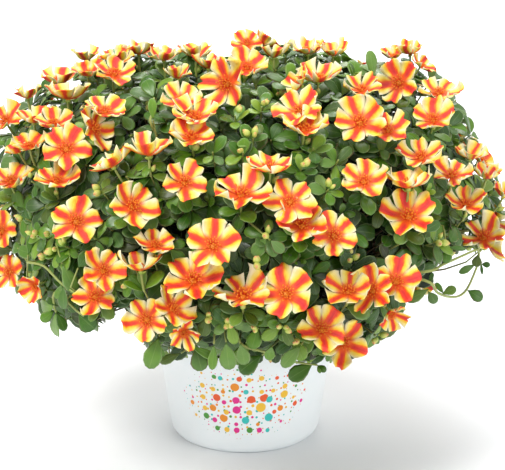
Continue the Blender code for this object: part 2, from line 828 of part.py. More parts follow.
def leaf_solid(base, along, up, length, width):
    """One fleshy blade: a six-sided outline with a raised middle above and below."""
    along = along.normalized()
    across = up.cross(along).normalized()
    up = along.cross(across).normalized()
    outline = ((0, 0), (0.34, -0.40), (0.72, -0.5), (1.0, 0), (0.72, 0.5), (0.34, 0.40))
    points = [base + along * (length * a) + across * (width * b)
              + up * (0.0016 - 0.004 * a * a) for a, b in outline]
    points.append(base + along * length * 0.55 + up * 0.0020)
    points.append(base + along * length * 0.55 - up * 0.0012)
    faces = []
    for k in range(6):
        faces.extend(((k, (k + 1) % 6, 6), ((k + 1) % 6, k, 7)))
    return points, faces


class Greens:
    """The pieces of every leafy stem, each kept clear of the other nodes."""

    def __init__(self):
        self.pieces = [[] for _ in ways]
        self.trees = [[tree] for tree in core_trees]

    def fits(self, cell, points, faces):
        if not clear_of(tree_of(points, faces), spray_trees):
            return False
        tree = tree_of(grown(points, faces, 0.0006), faces)
        if tree.overlap(pot_tree) or min(p.z for p in points) < 0.078:
            return False
        if not clear_of(tree, spray_trees):
            return False
        return all(clear_of(tree, trees)
                   for k, trees in enumerate(self.trees) if k != cell)

    def add(self, cell, points, faces):
        self.trees[cell].append(tree_of(points, faces))
        self.pieces[cell].append((points, faces))


greens = Greens()


def sunk_root(cell, place):
    """A point inside a stem's inner mass, below the spot nearest to a place."""
    spot, normal, _, _ = core_trees[cell].find_nearest(place)
    return spot - normal * 0.003 + (CROWN - spot).normalized() * 0.011


shoots_made = 0
for seen, last, leaves in SEEN_SHOOTS:
    start = seen_point(*seen[0])
    cell = cell_of((start - CROWN).normalized())
    for push in (0.0, 0.02, -0.03, 0.05, -0.06, 0.08):
        path = []
        for place, (across, down) in enumerate(seen):
            spot = seen_point(across, down)
            part = place / (len(seen) - 1)
            share = 0.95 + (last - 0.95) * part + push
            path.append(CROWN + (spot - CROWN) * share)
        root = sunk_root(cell, path[0] * 0.7 + CROWN * 0.3)
        tube = make_tube("tube", [root] + path, 0.0019, 0.7)
        points, faces = parts_of(tube)
        bpy.data.objects.remove(tube, do_unlink=True)
        if greens.fits(cell, points, faces):
            greens.add(cell, points, faces)
            shoots_made += 1
            break
    else:
        continue
    for leaf in range(leaves):
        part = 1.0 - 0.8 * leaf / max(leaves - 1, 1)
        walk = part * (len(path) - 1)
        first = min(int(walk), len(path) - 2)
        base = path[first].lerp(path[first + 1], walk - first)
        along = (path[first + 1] - path[first]).normalized()
        out = (base - CROWN).normalized()
        side = along.cross(out).normalized() * (1 if leaf % 2 else -1)
        if leaf == 0:
            side *= 0.15
        for tilt in (0.2, 0.6, -0.2, 0.9):
            way = (along * 0.5 + side * 0.8 + out * tilt).normalized()
            points, faces = leaf_solid(base - way * 0.0022, way, out + along * 0.1,
                                       draws.uniform(0.019, 0.024),
                                       draws.uniform(0.011, 0.0135))
            if greens.fits(cell, points, faces):
                greens.add(cell, points, faces)
                break
print("shoots", shoots_made, "pieces", sum(len(p) for p in greens.pieces))

whorl_places = []
skipped = 0
for number in range(WHORLS):
    best, widest = None, 0.0
    for _ in range(50):
        around = draws.uniform(0, 2 * math.pi)
        tall = math.asin(draws.uniform(-0.40, 1.0))
        way = Vector((math.cos(tall) * math.cos(around),
                      math.cos(tall) * math.sin(around), math.sin(tall)))
        spot = CROWN + way * reach(way) * draws.uniform(0.88, 0.97)
        space = min(((spot - other).length for other in whorl_places), default=1.0)
        space = min(space, 1.25 * min((spot - b.place).length for b in blooms))
        if space > widest:
            best, widest = (way, spot), space
    way, spot = best
    cell = cell_of(way)
    bud = draws.random() < 0.3
    done = False
    for attempt in range(16):
        place = CROWN + (spot - CROWN) * (1 - 0.012 * attempt)
        root = sunk_root(cell, place)
        normal = (way + 0.5 * (place - root).normalized()
                  + Vector((draws.uniform(-0.25, 0.25), draws.uniform(-0.25, 0.25),
                            draws.uniform(0, 0.4)))).normalized()
        size = draws.uniform(0.020, 0.0245) * (0.965 ** attempt)
        leaves = 5
        points, faces = whorl_solid(
            place, normal, draws.uniform(0, 6.28), leaves, size,
            size * draws.uniform(0.50, 0.60), draws.uniform(0.30, 0.75), root, bud,
            draws.uniform(0.1, 0.4))
        if all(map(in_picture, points)) and greens.fits(cell, points, faces):
            greens.add(cell, points, faces)
            whorl_places.append(place)
            done = True
            break
    if not done:
        skipped += 1
        whorl_places.append(spot)
print("whorls", WHORLS - skipped, "skipped", skipped)

for number, core in enumerate(cores):
    core_points, core_faces = parts_of(core)
    name = core.name
    for attempt in range(8):
        if attempt:
            bpy.data.objects.remove(core, do_unlink=True)
            core = make_object(name, core_points, core_faces)
            print(name, "joined again")
        pieces = [make_tube("stem", stem_path(number), STEM_RADIUS)]
        for place, (points, faces) in enumerate(greens.pieces[number]):
            nudge = Vector((0.00001, -0.000007, 0.000012)) * attempt * (place % 3 - 1)
            points = [p + nudge for p in points]
            pieces.append(make_object(f"piece_{place}", points, faces))
        join_pieces(core, pieces, "MANIFOLD" if attempt % 2 else "EXACT")
        if is_closed(core):
            break
    finish_object(core, (0.16, 0.27, 0.12), 0.5)
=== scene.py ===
import json
import math
import random

import bpy
from mathutils import Matrix, Vector, noise
from mathutils.bvhtree import BVHTree
from mathutils.kdtree import KDTree

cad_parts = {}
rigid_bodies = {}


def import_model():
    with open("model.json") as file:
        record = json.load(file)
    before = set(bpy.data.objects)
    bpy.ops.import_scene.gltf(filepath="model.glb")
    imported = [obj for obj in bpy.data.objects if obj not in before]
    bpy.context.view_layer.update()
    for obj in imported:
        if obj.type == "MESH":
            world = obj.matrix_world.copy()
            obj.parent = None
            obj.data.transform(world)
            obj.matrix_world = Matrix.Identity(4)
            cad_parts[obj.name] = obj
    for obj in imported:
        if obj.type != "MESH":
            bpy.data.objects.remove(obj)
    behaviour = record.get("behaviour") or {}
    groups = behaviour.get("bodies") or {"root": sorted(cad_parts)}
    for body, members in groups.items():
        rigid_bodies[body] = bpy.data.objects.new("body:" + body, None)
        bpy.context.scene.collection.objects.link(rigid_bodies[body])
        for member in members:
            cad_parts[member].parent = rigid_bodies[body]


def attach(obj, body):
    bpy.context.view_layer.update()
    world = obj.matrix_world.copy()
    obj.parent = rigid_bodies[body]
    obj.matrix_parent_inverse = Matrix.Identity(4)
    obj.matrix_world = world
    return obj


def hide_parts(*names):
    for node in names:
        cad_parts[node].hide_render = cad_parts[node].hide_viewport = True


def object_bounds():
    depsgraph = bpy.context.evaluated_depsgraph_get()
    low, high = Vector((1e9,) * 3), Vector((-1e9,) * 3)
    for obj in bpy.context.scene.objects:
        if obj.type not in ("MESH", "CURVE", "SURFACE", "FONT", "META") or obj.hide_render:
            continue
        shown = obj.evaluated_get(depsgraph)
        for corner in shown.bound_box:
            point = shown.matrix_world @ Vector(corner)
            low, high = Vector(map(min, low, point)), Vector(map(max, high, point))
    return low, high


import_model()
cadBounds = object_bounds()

# The mound that the blooms and leaves follow, in metres, as the solids have it
mound = {
    "crown": Vector((0.0, 0.0, 0.150)), "middle": 0.200, "radius": 0.213, "up": 0.147, "down": 0.105,
    "power": 2.5, "upperStems": 5, "lowerStems": 9, "seed": 11, "widest": 0.5, "halvings": 30,
    "slopeStep": 0.0005,
}
crown = mound["crown"]

# The photograph's camera: what it looks at, how far off, how high, focal length in pixels
shot = {
    "target": Vector((0.0065, 0.0, 0.1785)), "distance": 1.5, "elevation": math.radians(16.5),
    "focal": 1724.0, "width": 505.0, "middle": (252.5, 235.0), "nearest": 1.15, "step": 0.001,
    "steps": 700, "sensor": 36.0,
}

# Blooms seen in front, read one by one: across, down, width in pixels, then degrees that
# the face is turned up from the camera and towards the right
seenBlooms = (
    (139, 54, 38, 82, 5), (117, 63, 36, 75, -5), (86, 60, 32, 78, -20),
    (114, 75, 44, 55, 10), (88, 75, 36, 68, -10), (60, 82, 44, 72, -15),
    (68, 99, 46, 88, 0), (28, 98, 26, 80, -40), (6, 121, 40, 45, -25),
    (34, 122, 36, 72, -15), (54, 125, 40, 62, -5), (66, 149, 50, 22, -5),
    (94, 129, 46, 20, 50), (105, 112, 44, 60, 15), (30, 147, 40, 65, -15),
    (19, 152, 24, 60, -60), (11, 182, 46, 55, -20), (56, 182, 46, 60, 0),
    (113, 166, 48, 60, -75), (149, 155, 46, 80, -5), (132, 207, 50, 25, 25),
    (181, 102, 42, 45, 0), (164, 60, 36, 76, -10), (196, 57, 38, 78, 5),
    (208, 68, 30, 85, 15), (178, 78, 26, 78, -10), (195, 118, 44, 55, 0),
    (192, 138, 44, 55, -5), (227, 84, 52, 5, -30), (247, 68, 42, 50, 15),
    (247, 44, 34, 45, -5), (263, 44, 26, 50, 80), (274, 57, 30, 82, 5),
    (308, 53, 40, 75, -5), (333, 55, 34, 72, 10), (318, 80, 44, 68, 0),
    (300, 85, 38, 30, -70), (300, 112, 46, 40, -20), (304, 130, 46, 60, 5),
    (270, 169, 46, 65, 0), (184, 183, 44, 30, 15), (241, 195, 54, 50, 0),
    (290, 202, 46, 25, 0), (302, 226, 48, 35, 5), (334, 236, 44, 15, 15),
    (213, 246, 50, 25, -5), (193, 281, 54, 35, 0), (243, 297, 53, 48, 0),
    (286, 294, 52, 22, 0), (103, 271, 44, 25, 5), (95, 297, 44, 20, -10),
    (76, 222, 51, 20, 0), (2, 231, 40, 15, -30), (10, 272, 40, 10, -40),
    (36, 286, 24, -20, -40), (155, 246, 40, 50, 10), (141, 270, 44, 82, -20),
    (147, 320, 46, 10, -15), (172, 309, 42, 25, 35), (184, 332, 24, -30, 0),
    (360, 123, 52, 32, -5), (388, 131, 38, 40, 10), (362, 90, 38, 55, -5),
    (399, 83, 47, 15, -25), (394, 58, 24, 70, -20), (410, 54, 30, 75, -10),
    (421, 66, 32, 50, 55), (439, 94, 46, 60, 5), (433, 120, 44, 43, 0),
    (421, 158, 44, 49, 0), (452, 176, 40, 50, 0), (470, 158, 36, 70, 20),
    (486, 178, 30, 65, 25), (466, 205, 42, 50, 0), (484, 238, 46, 42, 0),
    (503, 197, 24, 60, 50), (364, 182, 45, 37, 0), (408, 187, 48, 78, 0),
    (409, 217, 54, 37, 0), (348, 292, 47, 44, 0), (373, 291, 46, 15, -20),
    (396, 282, 48, 20, 5), (391, 314, 28, -35, 35), (322, 330, 48, 25, 15),
    (343, 343, 48, 5, 10),
)

# Blooms that fill the back by a rule: where they may stand, how they lean and their sizes
backBlooms = {
    "count": 50, "tries": 60, "round": (-0.25, math.pi + 0.25), "rise": (-0.2, 1.0),
    "share": (0.97, 1.02), "lens": 0.1, "lowest": 0.115, "margin": 17, "lean": (-0.3, 0.3),
    "lift": (0.1, 0.7), "radius": (0.0185, 0.0222), "cup": (0.30, 0.50),
}

# Blooms read from the picture: their scale, and how far the petals stand up in small ones
# and by the degrees that a face is turned up
bloomLook = {"metresPerPixel": 0.00086, "small": 32, "smallest": 0.0125, "smallCup": 0.70,
             "cups": ((30, 0.28, 0.38), (66, 0.36, 0.48), (180, 0.50, 0.66)), "turnedBack": 92}

# Draws for a turn all the way round, and the turn that whorls are spaced by
anyTurn = (0, 6.28)
wholeTurn = 6.283

# Shoots that trail or stand clear: points across and down in pixels, the millimetres
# that the last one stands off the mound, and leaves along them
seenShoots = (
    (((424, 272), (444, 264), (462, 256), (477, 250), (479, 257)), 8, 0),
    (((424, 280), (438, 293), (455, 297), (467, 289), (478, 264)), 8, 0),
    (((30, 262), (44, 266), (62, 284), (80, 296)), 4, 2),
    (((60, 290), (54, 304), (56, 312)), 4, 2),
    (((70, 296), (74, 308), (84, 316)), 3, 0),
    (((372, 90), (373, 82), (373, 74)), 4, 1),
    (((240, 343), (265, 352), (290, 361), (317, 365)), 3, 0),
    (((152, 126), (154, 112), (154, 98)), 3, 2),
)

# Leaves that show singly: base and tip in pixels, millimetres off the mound, and breadth
# beside the usual; the second list brings a stalk of its own
shootLeaves = (
    ((476, 264), (459, 273), 9, 0.8), ((484, 250), (498, 270), 9, 1.1),
    ((478, 254), (476, 267), 9, 1.2), ((481, 262), (482, 274), 8, 0.5),
    ((481, 264), (490, 265), 9, 1.0), ((429, 289), (407, 301), 3, 0.7),
    ((428, 291), (436, 303), 4, 1.4), ((442, 294), (456, 288), 5, 1.1),
    ((444, 294), (436, 283), 5, 0.6), ((467, 290), (483, 299), 7, 1.0),
    ((429, 283), (433, 273), 3, 0.7), ((46, 267), (50, 299), 6, 0.8),
    ((62, 284), (56, 299), 3, 0.8), ((64, 287), (76, 277), 2, 1.2),
    ((54, 311), (41, 321), 5, 1.3), ((56, 312), (65, 331), 6, 1.1),
    ((56, 306), (46, 298), 4, 0.9), ((57, 305), (61, 296), 4, 0.9),
    ((78, 314), (94, 329), 4, 1.4), ((74, 310), (66, 296), 2, 1.1),
    ((374, 78), (370, 50), 4, 0.7), ((373, 74), (379, 60), 4, 0.6),
    ((272, 346), (268, 360), 6, 1.3), ((313, 364), (289, 379), 6, 1.0),
    ((316, 364), (322, 353), 4, 1.1), ((317, 365), (326, 371), 4, 1.0),
    ((317, 366), (320, 373), 5, 0.9), ((310, 362), (304, 354), 4, 1.0),
)
stalkLeaves = (
    ((159, 336), (149, 369), 5, 0.9), ((181, 353), (160, 363), 6, 0.7),
    ((195, 347), (202, 371), 4, 1.5), ((190, 346), (217, 359), 7, 0.5),
    ((214, 344), (212, 370), 5, 0.8), ((226, 342), (229, 370), 5, 1.1),
    ((240, 343), (245, 365), 6, 1.0), ((262, 355), (239, 371), 4, 1.3),
    ((301, 345), (282, 367), 5, 0.8), ((205, 332), (200, 350), 4, 1.2),
    ((447, 248), (446, 263), 3, 1.3), ((447, 247), (466, 249), 4, 0.5),
    ((494, 196), (497, 217), 4, 1.1), ((484, 188), (464, 180), 4, 0.8),
    ((395, 303), (383, 318), 6, 0.9), ((28, 255), (36, 232), 5, 1.1),
    ((22, 268), (28, 288), 5, 1.1), ((106, 300), (110, 323), 2, 1.3),
    ((78, 268), (90, 252), 5, 1.2), ((62, 264), (76, 292), 4, 1.0),
    ((124, 226), (126, 246), 4, 1.5), ((153, 120), (152, 98), 5, 0.7),
    ((422, 232), (440, 222), 3, 0.9), ((240, 205), (222, 218), 4, 1.0),
    ((247, 270), (230, 246), 4, 1.0), ((270, 240), (284, 252), 3, 1.1),
)

# The picture's edge of the foliage, above and below: nothing placed by rule shows past it
topEdge = (
    (0, 105), (40, 75), (80, 54), (120, 42), (210, 44), (225, 58), (236, 40), (275, 34),
    (290, 42), (345, 46), (360, 62), (385, 48), (425, 48), (445, 66), (465, 95),
    (480, 140), (505, 180),
)
lowEdge = (
    (0, 290), (30, 292), (45, 326), (100, 330), (122, 300), (138, 330), (152, 360),
    (340, 366), (372, 346), (396, 330), (408, 302), (430, 272), (460, 250), (505, 244),
)

# Camera, lamps and the pale room

def lookingFrom():
    rise = shot["elevation"]
    lens = shot["target"] + shot["distance"] * Vector((0, -math.cos(rise), math.sin(rise)))
    ahead = (shot["target"] - lens).normalized()
    return lens, ahead, Vector((1, 0, 0)).cross(ahead)


lensPlace, ahead, upward = lookingFrom()


def addCamera():
    camera = bpy.data.objects.new("photoCamera", bpy.data.cameras.new("photoCamera"))
    bpy.context.scene.collection.objects.link(camera)
    camera.data.sensor_width = shot["sensor"]
    camera.data.lens = shot["focal"] / shot["width"] * shot["sensor"]
    camera.data.clip_end = 50
    turn = Matrix((Vector((1, 0, 0)), upward, -ahead)).transposed()
    camera.matrix_world = Matrix.Translation(lensPlace) @ turn.to_4x4()
    bpy.context.scene.camera = camera


# Each lamp: its place, what it is aimed at, its size, watts and colour
lampLook = {
    "window": ((-1.2, -1.5, 2.4), (0, 0, 0.2), 1.0, 62, (1.0, 0.98, 0.95)),
    "fill": ((1.9, -1.8, 1.2), (0, 0, 0.2), 1.6, 20, (0.97, 0.99, 1.0)),
    "top": ((0.3, 0.6, 2.6), (0, 0, 0.2), 1.2, 26, (1.0, 1.0, 1.0)),
    "sweep": ((0.0, 3.6, 2.4), (0.0, 3.6, 0.0), 3.0, 150, (1.0, 1.0, 1.0)),
}
roomLook = {"colour": (1.0, 1.0, 1.0, 1), "strength": 0.66}


def addLamp(name, place, aim, size, watts, colour):
    lamp = bpy.data.lights.new(name, "AREA")
    lamp.size = size
    lamp.energy = watts
    lamp.color = colour
    thing = bpy.data.objects.new(name, lamp)
    bpy.context.scene.collection.objects.link(thing)
    turn = (Vector(aim) - Vector(place)).to_track_quat("-Z", "Y")
    thing.matrix_world = Matrix.Translation(place) @ turn.to_matrix().to_4x4()


addCamera()
for name, look in lampLook.items():
    addLamp(name, *look)
bpy.context.scene.view_settings.view_transform = "Standard"
room = bpy.data.worlds.new("paleRoom")
room.use_nodes = True
room.node_tree.nodes["Background"].inputs["Color"].default_value = roomLook["colour"]
room.node_tree.nodes["Background"].inputs["Strength"].default_value = roomLook["strength"]
bpy.context.scene.world = room
print("camera and lamps placed")


# The mound, worked out exactly as for the solids

def outside(point):
    height = point.z - mound["middle"]
    half = mound["up"] if height > 0 else mound["down"]
    across = math.hypot(point.x, point.y) / mound["radius"]
    return across ** mound["power"] + abs(height / half) ** mound["power"] - 1.0


def reach(direction):
    near, far = 0.0, mound["widest"]
    for _ in range(mound["halvings"]):
        middle = (near + far) / 2
        if outside(crown + direction * middle) < 0:
            near = middle
        else:
            far = middle
    return near


def skinNormal(point):
    step = mound["slopeStep"]
    ways = (Vector((step, 0, 0)), Vector((0, step, 0)), Vector((0, 0, step)))
    return Vector([outside(point + way) - outside(point - way) for way in ways]).normalized()


def wayOut(around, tall):
    return Vector((math.cos(tall) * math.cos(around), math.cos(tall) * math.sin(around),
                   math.sin(tall)))


def sightLine(across, down):
    # the way from the lens through a pixel, one metre deep
    ray = ahead + Vector((1, 0, 0)) * ((across - shot["middle"][0]) / shot["focal"])
    return ray - upward * ((down - shot["middle"][1]) / shot["focal"])


def seenPoint(across, down):
    # where a pixel's line meets the mound, or passes it most closely
    ray = sightLine(across, down).normalized()
    best, bestValue = None, math.inf
    for step in range(shot["steps"]):
        point = lensPlace + ray * (shot["nearest"] + step * shot["step"])
        value = outside(point)
        if value < 0:
            return point
        if value < bestValue:
            best, bestValue = point, value
    return best


def edgeAt(edge, across):
    for (x1, y1), (x2, y2) in zip(edge, edge[1:]):
        if across <= x2:
            return y1 + (y2 - y1) * max(across - x1, 0) / (x2 - x1)
    return edge[-1][1]


def inPicture(point, top=0.0):
    way = point - lensPlace
    depth = way.dot(ahead)
    across = shot["middle"][0] + shot["focal"] * way.x / depth
    down = shot["middle"][1] - shot["focal"] * way.dot(upward) / depth
    return edgeAt(topEdge, across) + top <= down <= edgeAt(lowEdge, across) + 2


def facing(point, upAngle, sideAngle):
    near = (lensPlace - point).normalized()
    side = upward.cross(near).normalized()
    above = near.cross(side).normalized()
    upAngle, sideAngle = math.radians(upAngle), math.radians(sideAngle)
    level = near * math.cos(sideAngle) + side * math.sin(sideAngle)
    return (level * math.cos(upAngle) + above * math.sin(upAngle)).normalized()


def frameOf(direction, turn):
    across = direction.orthogonal().normalized()
    matrix = Matrix((across, direction.cross(across), direction)).transposed()
    return matrix @ Matrix.Rotation(turn, 3, "Z")


def cupFor(upAngle, width, draws):
    if width < bloomLook["small"]:
        return bloomLook["smallCup"]
    for limit, least, most in bloomLook["cups"]:
        if upAngle < limit:
            return draws.uniform(least, most)


def setSeenBloom(across, down, width, upAngle, sideAngle, draws):
    place = seenPoint(across, down)
    size = bloomLook["metresPerPixel"] * width / 2
    if width < bloomLook["small"]:
        size = max(size, bloomLook["smallest"])
    cup = cupFor(upAngle, width, draws)
    return {"place": place, "normal": facing(place, upAngle, sideAngle),
            "radius": size, "cup": cup, "turn": draws.uniform(*anyTurn)}


def setBackBloom(blooms, draws):
    # the roomiest of many tries
    look = backBlooms
    place, widest = None, 0.0
    for _ in range(look["tries"]):
        around = draws.uniform(*look["round"])
        way = wayOut(around, math.asin(draws.uniform(*look["rise"])))
        spot = crown + way * reach(way) * draws.uniform(*look["share"])
        if (skinNormal(spot).dot((lensPlace - spot).normalized()) > look["lens"]
                or spot.z < look["lowest"] or not inPicture(spot, look["margin"])):
            continue
        space = min((spot - bloom["place"]).length for bloom in blooms)
        if space > widest:
            place, widest = spot, space
    lean = [draws.uniform(*look[key]) for key in ("lean", "lean", "lift")]
    return {"place": place, "normal": (skinNormal(place) + Vector(lean)).normalized(),
            "radius": draws.uniform(*look["radius"]), "cup": draws.uniform(*look["cup"]),
            "turn": draws.uniform(*anyTurn)}


def easeRound(bloom):
    # a face turned back over its own stalk is eased round, as in the solids
    out = (bloom["place"] - crown).normalized()
    angle = out.angle(bloom["normal"])
    limit = math.radians(bloomLook["turnedBack"])
    if angle > limit:
        axis = bloom["normal"].rotation_difference(out).axis
        bloom["normal"] = Matrix.Rotation(angle - limit, 3, axis) @ bloom["normal"]


bloomDraws = random.Random(mound["seed"])
blooms = [setSeenBloom(*read, bloomDraws) for read in seenBlooms]
for _ in range(backBlooms["count"]):
    blooms.append(setBackBloom(blooms, bloomDraws))
for bloom in blooms:
    easeRound(bloom)
print("blooms set out:", len(blooms))


# Main stems: one up, a ring above and a ring below, each with its way and its foot

def ringWays(count, first, tall, foot):
    found = []
    for number in range(count):
        around = math.radians(-90 + 360 / count * (number + first))
        found.append((wayOut(around, tall), (foot * math.cos(around), foot * math.sin(around))))
    return found


stems = ([(Vector((0, 0, 1)), (0.0, 0.0))]
         + ringWays(mound["upperStems"], 0, math.radians(46), 0.021)
         + ringWays(mound["lowerStems"], 0.5, math.radians(2), 0.052))


def stemOf(direction):
    return max(range(len(stems)), key=lambda k: stems[k][0].dot(direction))


# Short words for making, choosing and joining pieces

def newPiece():
    return bpy.context.view_layer.objects.active


def deselectAll():
    if bpy.context.mode != "OBJECT":
        bpy.ops.object.mode_set(mode="OBJECT")
    bpy.ops.object.select_all(action="DESELECT")


def pick(things):
    deselectAll()
    for thing in things:
        thing.select_set(True)
    bpy.context.view_layer.objects.active = things[0]


def reshape(piece, rule):
    # moves every vertex by a rule, for outlines that no operator gives
    for vertex in piece.data.vertices:
        vertex.co = rule(vertex.co.copy())
    piece.data.update()


def setMap(piece, rule):
    # the piece's own map: along in U, across in V
    mesh = piece.data
    found = mesh.uv_layers.get("UVMap") or mesh.uv_layers.new(name="UVMap")
    for loop in mesh.loops:
        found.data[loop.index].uv = rule(mesh.vertices[loop.vertex_index].co)


def setTone(piece, tone):
    mesh = piece.data
    found = mesh.attributes.get("tone") or mesh.attributes.new("tone", "FLOAT", "POINT")
    found.data.foreach_set("value", [tone] * len(mesh.vertices))


def applyAll(piece):
    pick([piece])
    for modifier in list(piece.modifiers):
        bpy.ops.object.modifier_apply(modifier=modifier.name)


def settle(piece):
    pick([piece])
    bpy.ops.object.transform_apply(location=True, rotation=True, scale=True)


def paintAll(pieces, material):
    for piece in pieces:
        piece.data.materials.clear()
        piece.data.materials.append(material)


def addBall(segments, rings, mapRule, rule=None, radius=1):
    # a round piece with its map, then its own outline
    deselectAll()
    bpy.ops.mesh.primitive_uv_sphere_add(segments=segments, ring_count=rings, radius=radius)
    ball = newPiece()
    setMap(ball, mapRule)
    if rule:
        reshape(ball, rule)
    return ball


def copyTo(model, matrix, tone):
    # one more of a modelled shape, with its own mesh
    copy = bpy.data.objects.new(model.name, model.data.copy())
    copy.data.transform(matrix)
    bpy.context.scene.collection.objects.link(copy)
    setTone(copy, tone)
    return copy


def joinAs(name, parts):
    pick(parts)
    bpy.ops.object.join()
    piece = parts[0]
    piece.name = name
    piece.data.name = name
    piece.data.shade_smooth()
    return piece


def dropModel(model):
    bpy.data.objects.remove(model, do_unlink=True)


# Short words for shader nodes, used by every finish

def newGroup(name, inputs, outputs):
    group = bpy.data.node_groups.new(name, "ShaderNodeTree")
    for title, kind, value in inputs:
        socket = group.interface.new_socket(title, in_out="INPUT", socket_type=kind)
        if value is not None:
            socket.default_value = value
    for title, kind in outputs:
        group.interface.new_socket(title, in_out="OUTPUT", socket_type=kind)
    return group, group.nodes.new("NodeGroupInput"), group.nodes.new("NodeGroupOutput")


def addNode(tree, kind, label=None, **settings):
    node = tree.nodes.new(kind)
    if label:
        node.label = label
    for key, value in settings.items():
        if key in node.inputs:
            node.inputs[key].default_value = value
        else:
            setattr(node, key, value)
    return node


def sums(tree, operation, first, second=None, clamp=False):
    node = tree.nodes.new("ShaderNodeMath")
    node.operation = operation
    node.use_clamp = clamp
    for place, value in enumerate((first, second)):
        if isinstance(value, (int, float)):
            node.inputs[place].default_value = value
        elif value is not None:
            tree.links.new(value, node.inputs[place])
    return node.outputs[0]


def times(tree, first, second, clamp=False):
    return sums(tree, "MULTIPLY", first, second, clamp)


def plus(tree, first, second, clamp=False):
    return sums(tree, "ADD", first, second, clamp)


def less(tree, first, second, clamp=False):
    return sums(tree, "SUBTRACT", first, second, clamp)


def chart(colour):
    # a paint-chart colour, or a grey from 0 to 1, in the renderer's linear values
    if not isinstance(colour, str):
        return (colour, colour, colour)
    parts = [int(colour[k:k + 2], 16) / 255 for k in (0, 2, 4)]
    return tuple(c / 12.92 if c <= 0.04045 else ((c + 0.055) / 1.055) ** 2.4 for c in parts)


def blendColours(tree, share, first, second, mode="MIX"):
    node = tree.nodes.new("ShaderNodeMix")
    node.data_type = "RGBA"
    node.blend_type = mode
    slots = (node.inputs[0], node.inputs[6], node.inputs[7])
    for socket, value in zip(slots, (share, first, second)):
        if isinstance(value, (int, float)):
            socket.default_value = value
        elif isinstance(value, str):
            socket.default_value = (*chart(value), 1.0)
        else:
            tree.links.new(value, socket)
    return node.outputs[2]


def ramp(tree, value, stops, ease="LINEAR"):
    node = tree.nodes.new("ShaderNodeValToRGB")
    node.color_ramp.interpolation = ease
    points = node.color_ramp.elements
    while len(points) < len(stops):
        points.new(0.5)
    for point, (place, colour) in zip(points, stops.items()):
        point.position = place
        point.color = (*chart(colour), 1.0)
    tree.links.new(value, node.inputs[0])
    return node.outputs[0]


def stretchedPlace(group, given, factors):
    # along, across and tone, each times a factor
    place = group.nodes.new("ShaderNodeCombineXYZ")
    for socket, title, factor in zip(place.inputs, ("Along", "Across", "Tone"), factors):
        group.links.new(times(group, given.outputs[title], factor), socket)
    return place.outputs[0]


def makeLengthStreaks():
    # fine streaks that run along a petal, leaf or stem, from its own map
    group, given, out = newGroup(
        "lengthStreaks",
        (("Along", "NodeSocketFloat", 0.0), ("Across", "NodeSocketFloat", 0.0),
         ("Tone", "NodeSocketFloat", 0.0), ("Count", "NodeSocketFloat", 12.0)),
        (("Streaks", "NodeSocketFloat"), ("Patches", "NodeSocketFloat")))
    fine = addNode(group, "ShaderNodeTexNoise", "streaks", Scale=1.6, Detail=3.0, Roughness=0.55)
    coarse = addNode(group, "ShaderNodeTexNoise", "patches", Scale=1.5, Detail=2.0)
    for node, factors, title in ((fine, (1.4, given.outputs["Count"], 37.0), "Streaks"),
                                 (coarse, (2.2, 2.6, 23.0), "Patches")):
        group.links.new(stretchedPlace(group, given, factors), node.inputs["Vector"])
        group.links.new(node.outputs[0], out.inputs[title])
    return group


def makeGrain():
    # speckle on the object's own coordinates, for soil crumbs and moulded plastic
    group, given, out = newGroup(
        "grain",
        (("Position", "NodeSocketVector", None), ("Size", "NodeSocketFloat", 400.0),
         ("Spread", "NodeSocketFloat", 0.5)),
        (("Fine", "NodeSocketFloat"), ("Broad", "NodeSocketFloat")))
    fine = addNode(group, "ShaderNodeTexNoise", "fine", Detail=4.0, Roughness=0.6)
    broad = addNode(group, "ShaderNodeTexNoise", "broad", Detail=2.0)
    for node in (fine, broad):
        group.links.new(given.outputs["Position"], node.inputs["Vector"])
    group.links.new(given.outputs["Size"], fine.inputs["Scale"])
    group.links.new(times(group, given.outputs["Size"], 0.11), broad.inputs["Scale"])
    eased = times(group, less(group, fine.outputs[0], 0.5), given.outputs["Spread"])
    group.links.new(plus(group, eased, 0.5), out.inputs["Fine"])
    group.links.new(broad.outputs[0], out.inputs["Broad"])
    return group


def makeDots():
    # round dots of mixed sizes and colours, thinning out from the middle of a patch
    group, given, out = newGroup(
        "printedDots",
        (("Place", "NodeSocketVector", None), ("Size", "NodeSocketFloat", 0.008),
         ("Patch", "NodeSocketFloat", 0.0), ("Largest", "NodeSocketFloat", 0.42)),
        (("Mask", "NodeSocketFloat"), ("Colour", "NodeSocketColor")))
    cellNode = addNode(group, "ShaderNodeTexVoronoi", "dots", voronoi_dimensions="2D",
                       Randomness=0.62)
    group.links.new(given.outputs["Place"], cellNode.inputs["Vector"])
    group.links.new(sums(group, "DIVIDE", 1.0, given.outputs["Size"]), cellNode.inputs["Scale"])
    split = group.nodes.new("ShaderNodeSeparateColor")
    group.links.new(cellNode.outputs["Color"], split.inputs[0])
    size = plus(group, times(group, split.outputs[1], 0.55), 0.45)
    size = times(group, times(group, size, given.outputs["Largest"]), given.outputs["Patch"])
    inside = less(group, size, cellNode.outputs["Distance"])
    group.links.new(times(group, inside, 30.0, True), out.inputs["Mask"])
    paint = ramp(group, split.outputs[0], {
        0.0: "35C4BE", 0.18: "F2921E", 0.36: "E8268C", 0.52: "F6C33A", 0.68: "4C9A35",
        0.84: "EE5A24"}, "CONSTANT")
    group.links.new(paint, out.inputs["Colour"])
    return group


lengthStreaks = makeLengthStreaks()
grain = makeGrain()
printedDots = makeDots()


def newMaterial(name, roughness):
    material = bpy.data.materials.new(name)
    material.use_nodes = True
    shader = material.node_tree.nodes["Principled BSDF"]
    shader.inputs["Roughness"].default_value = roughness
    return material, material.node_tree, shader


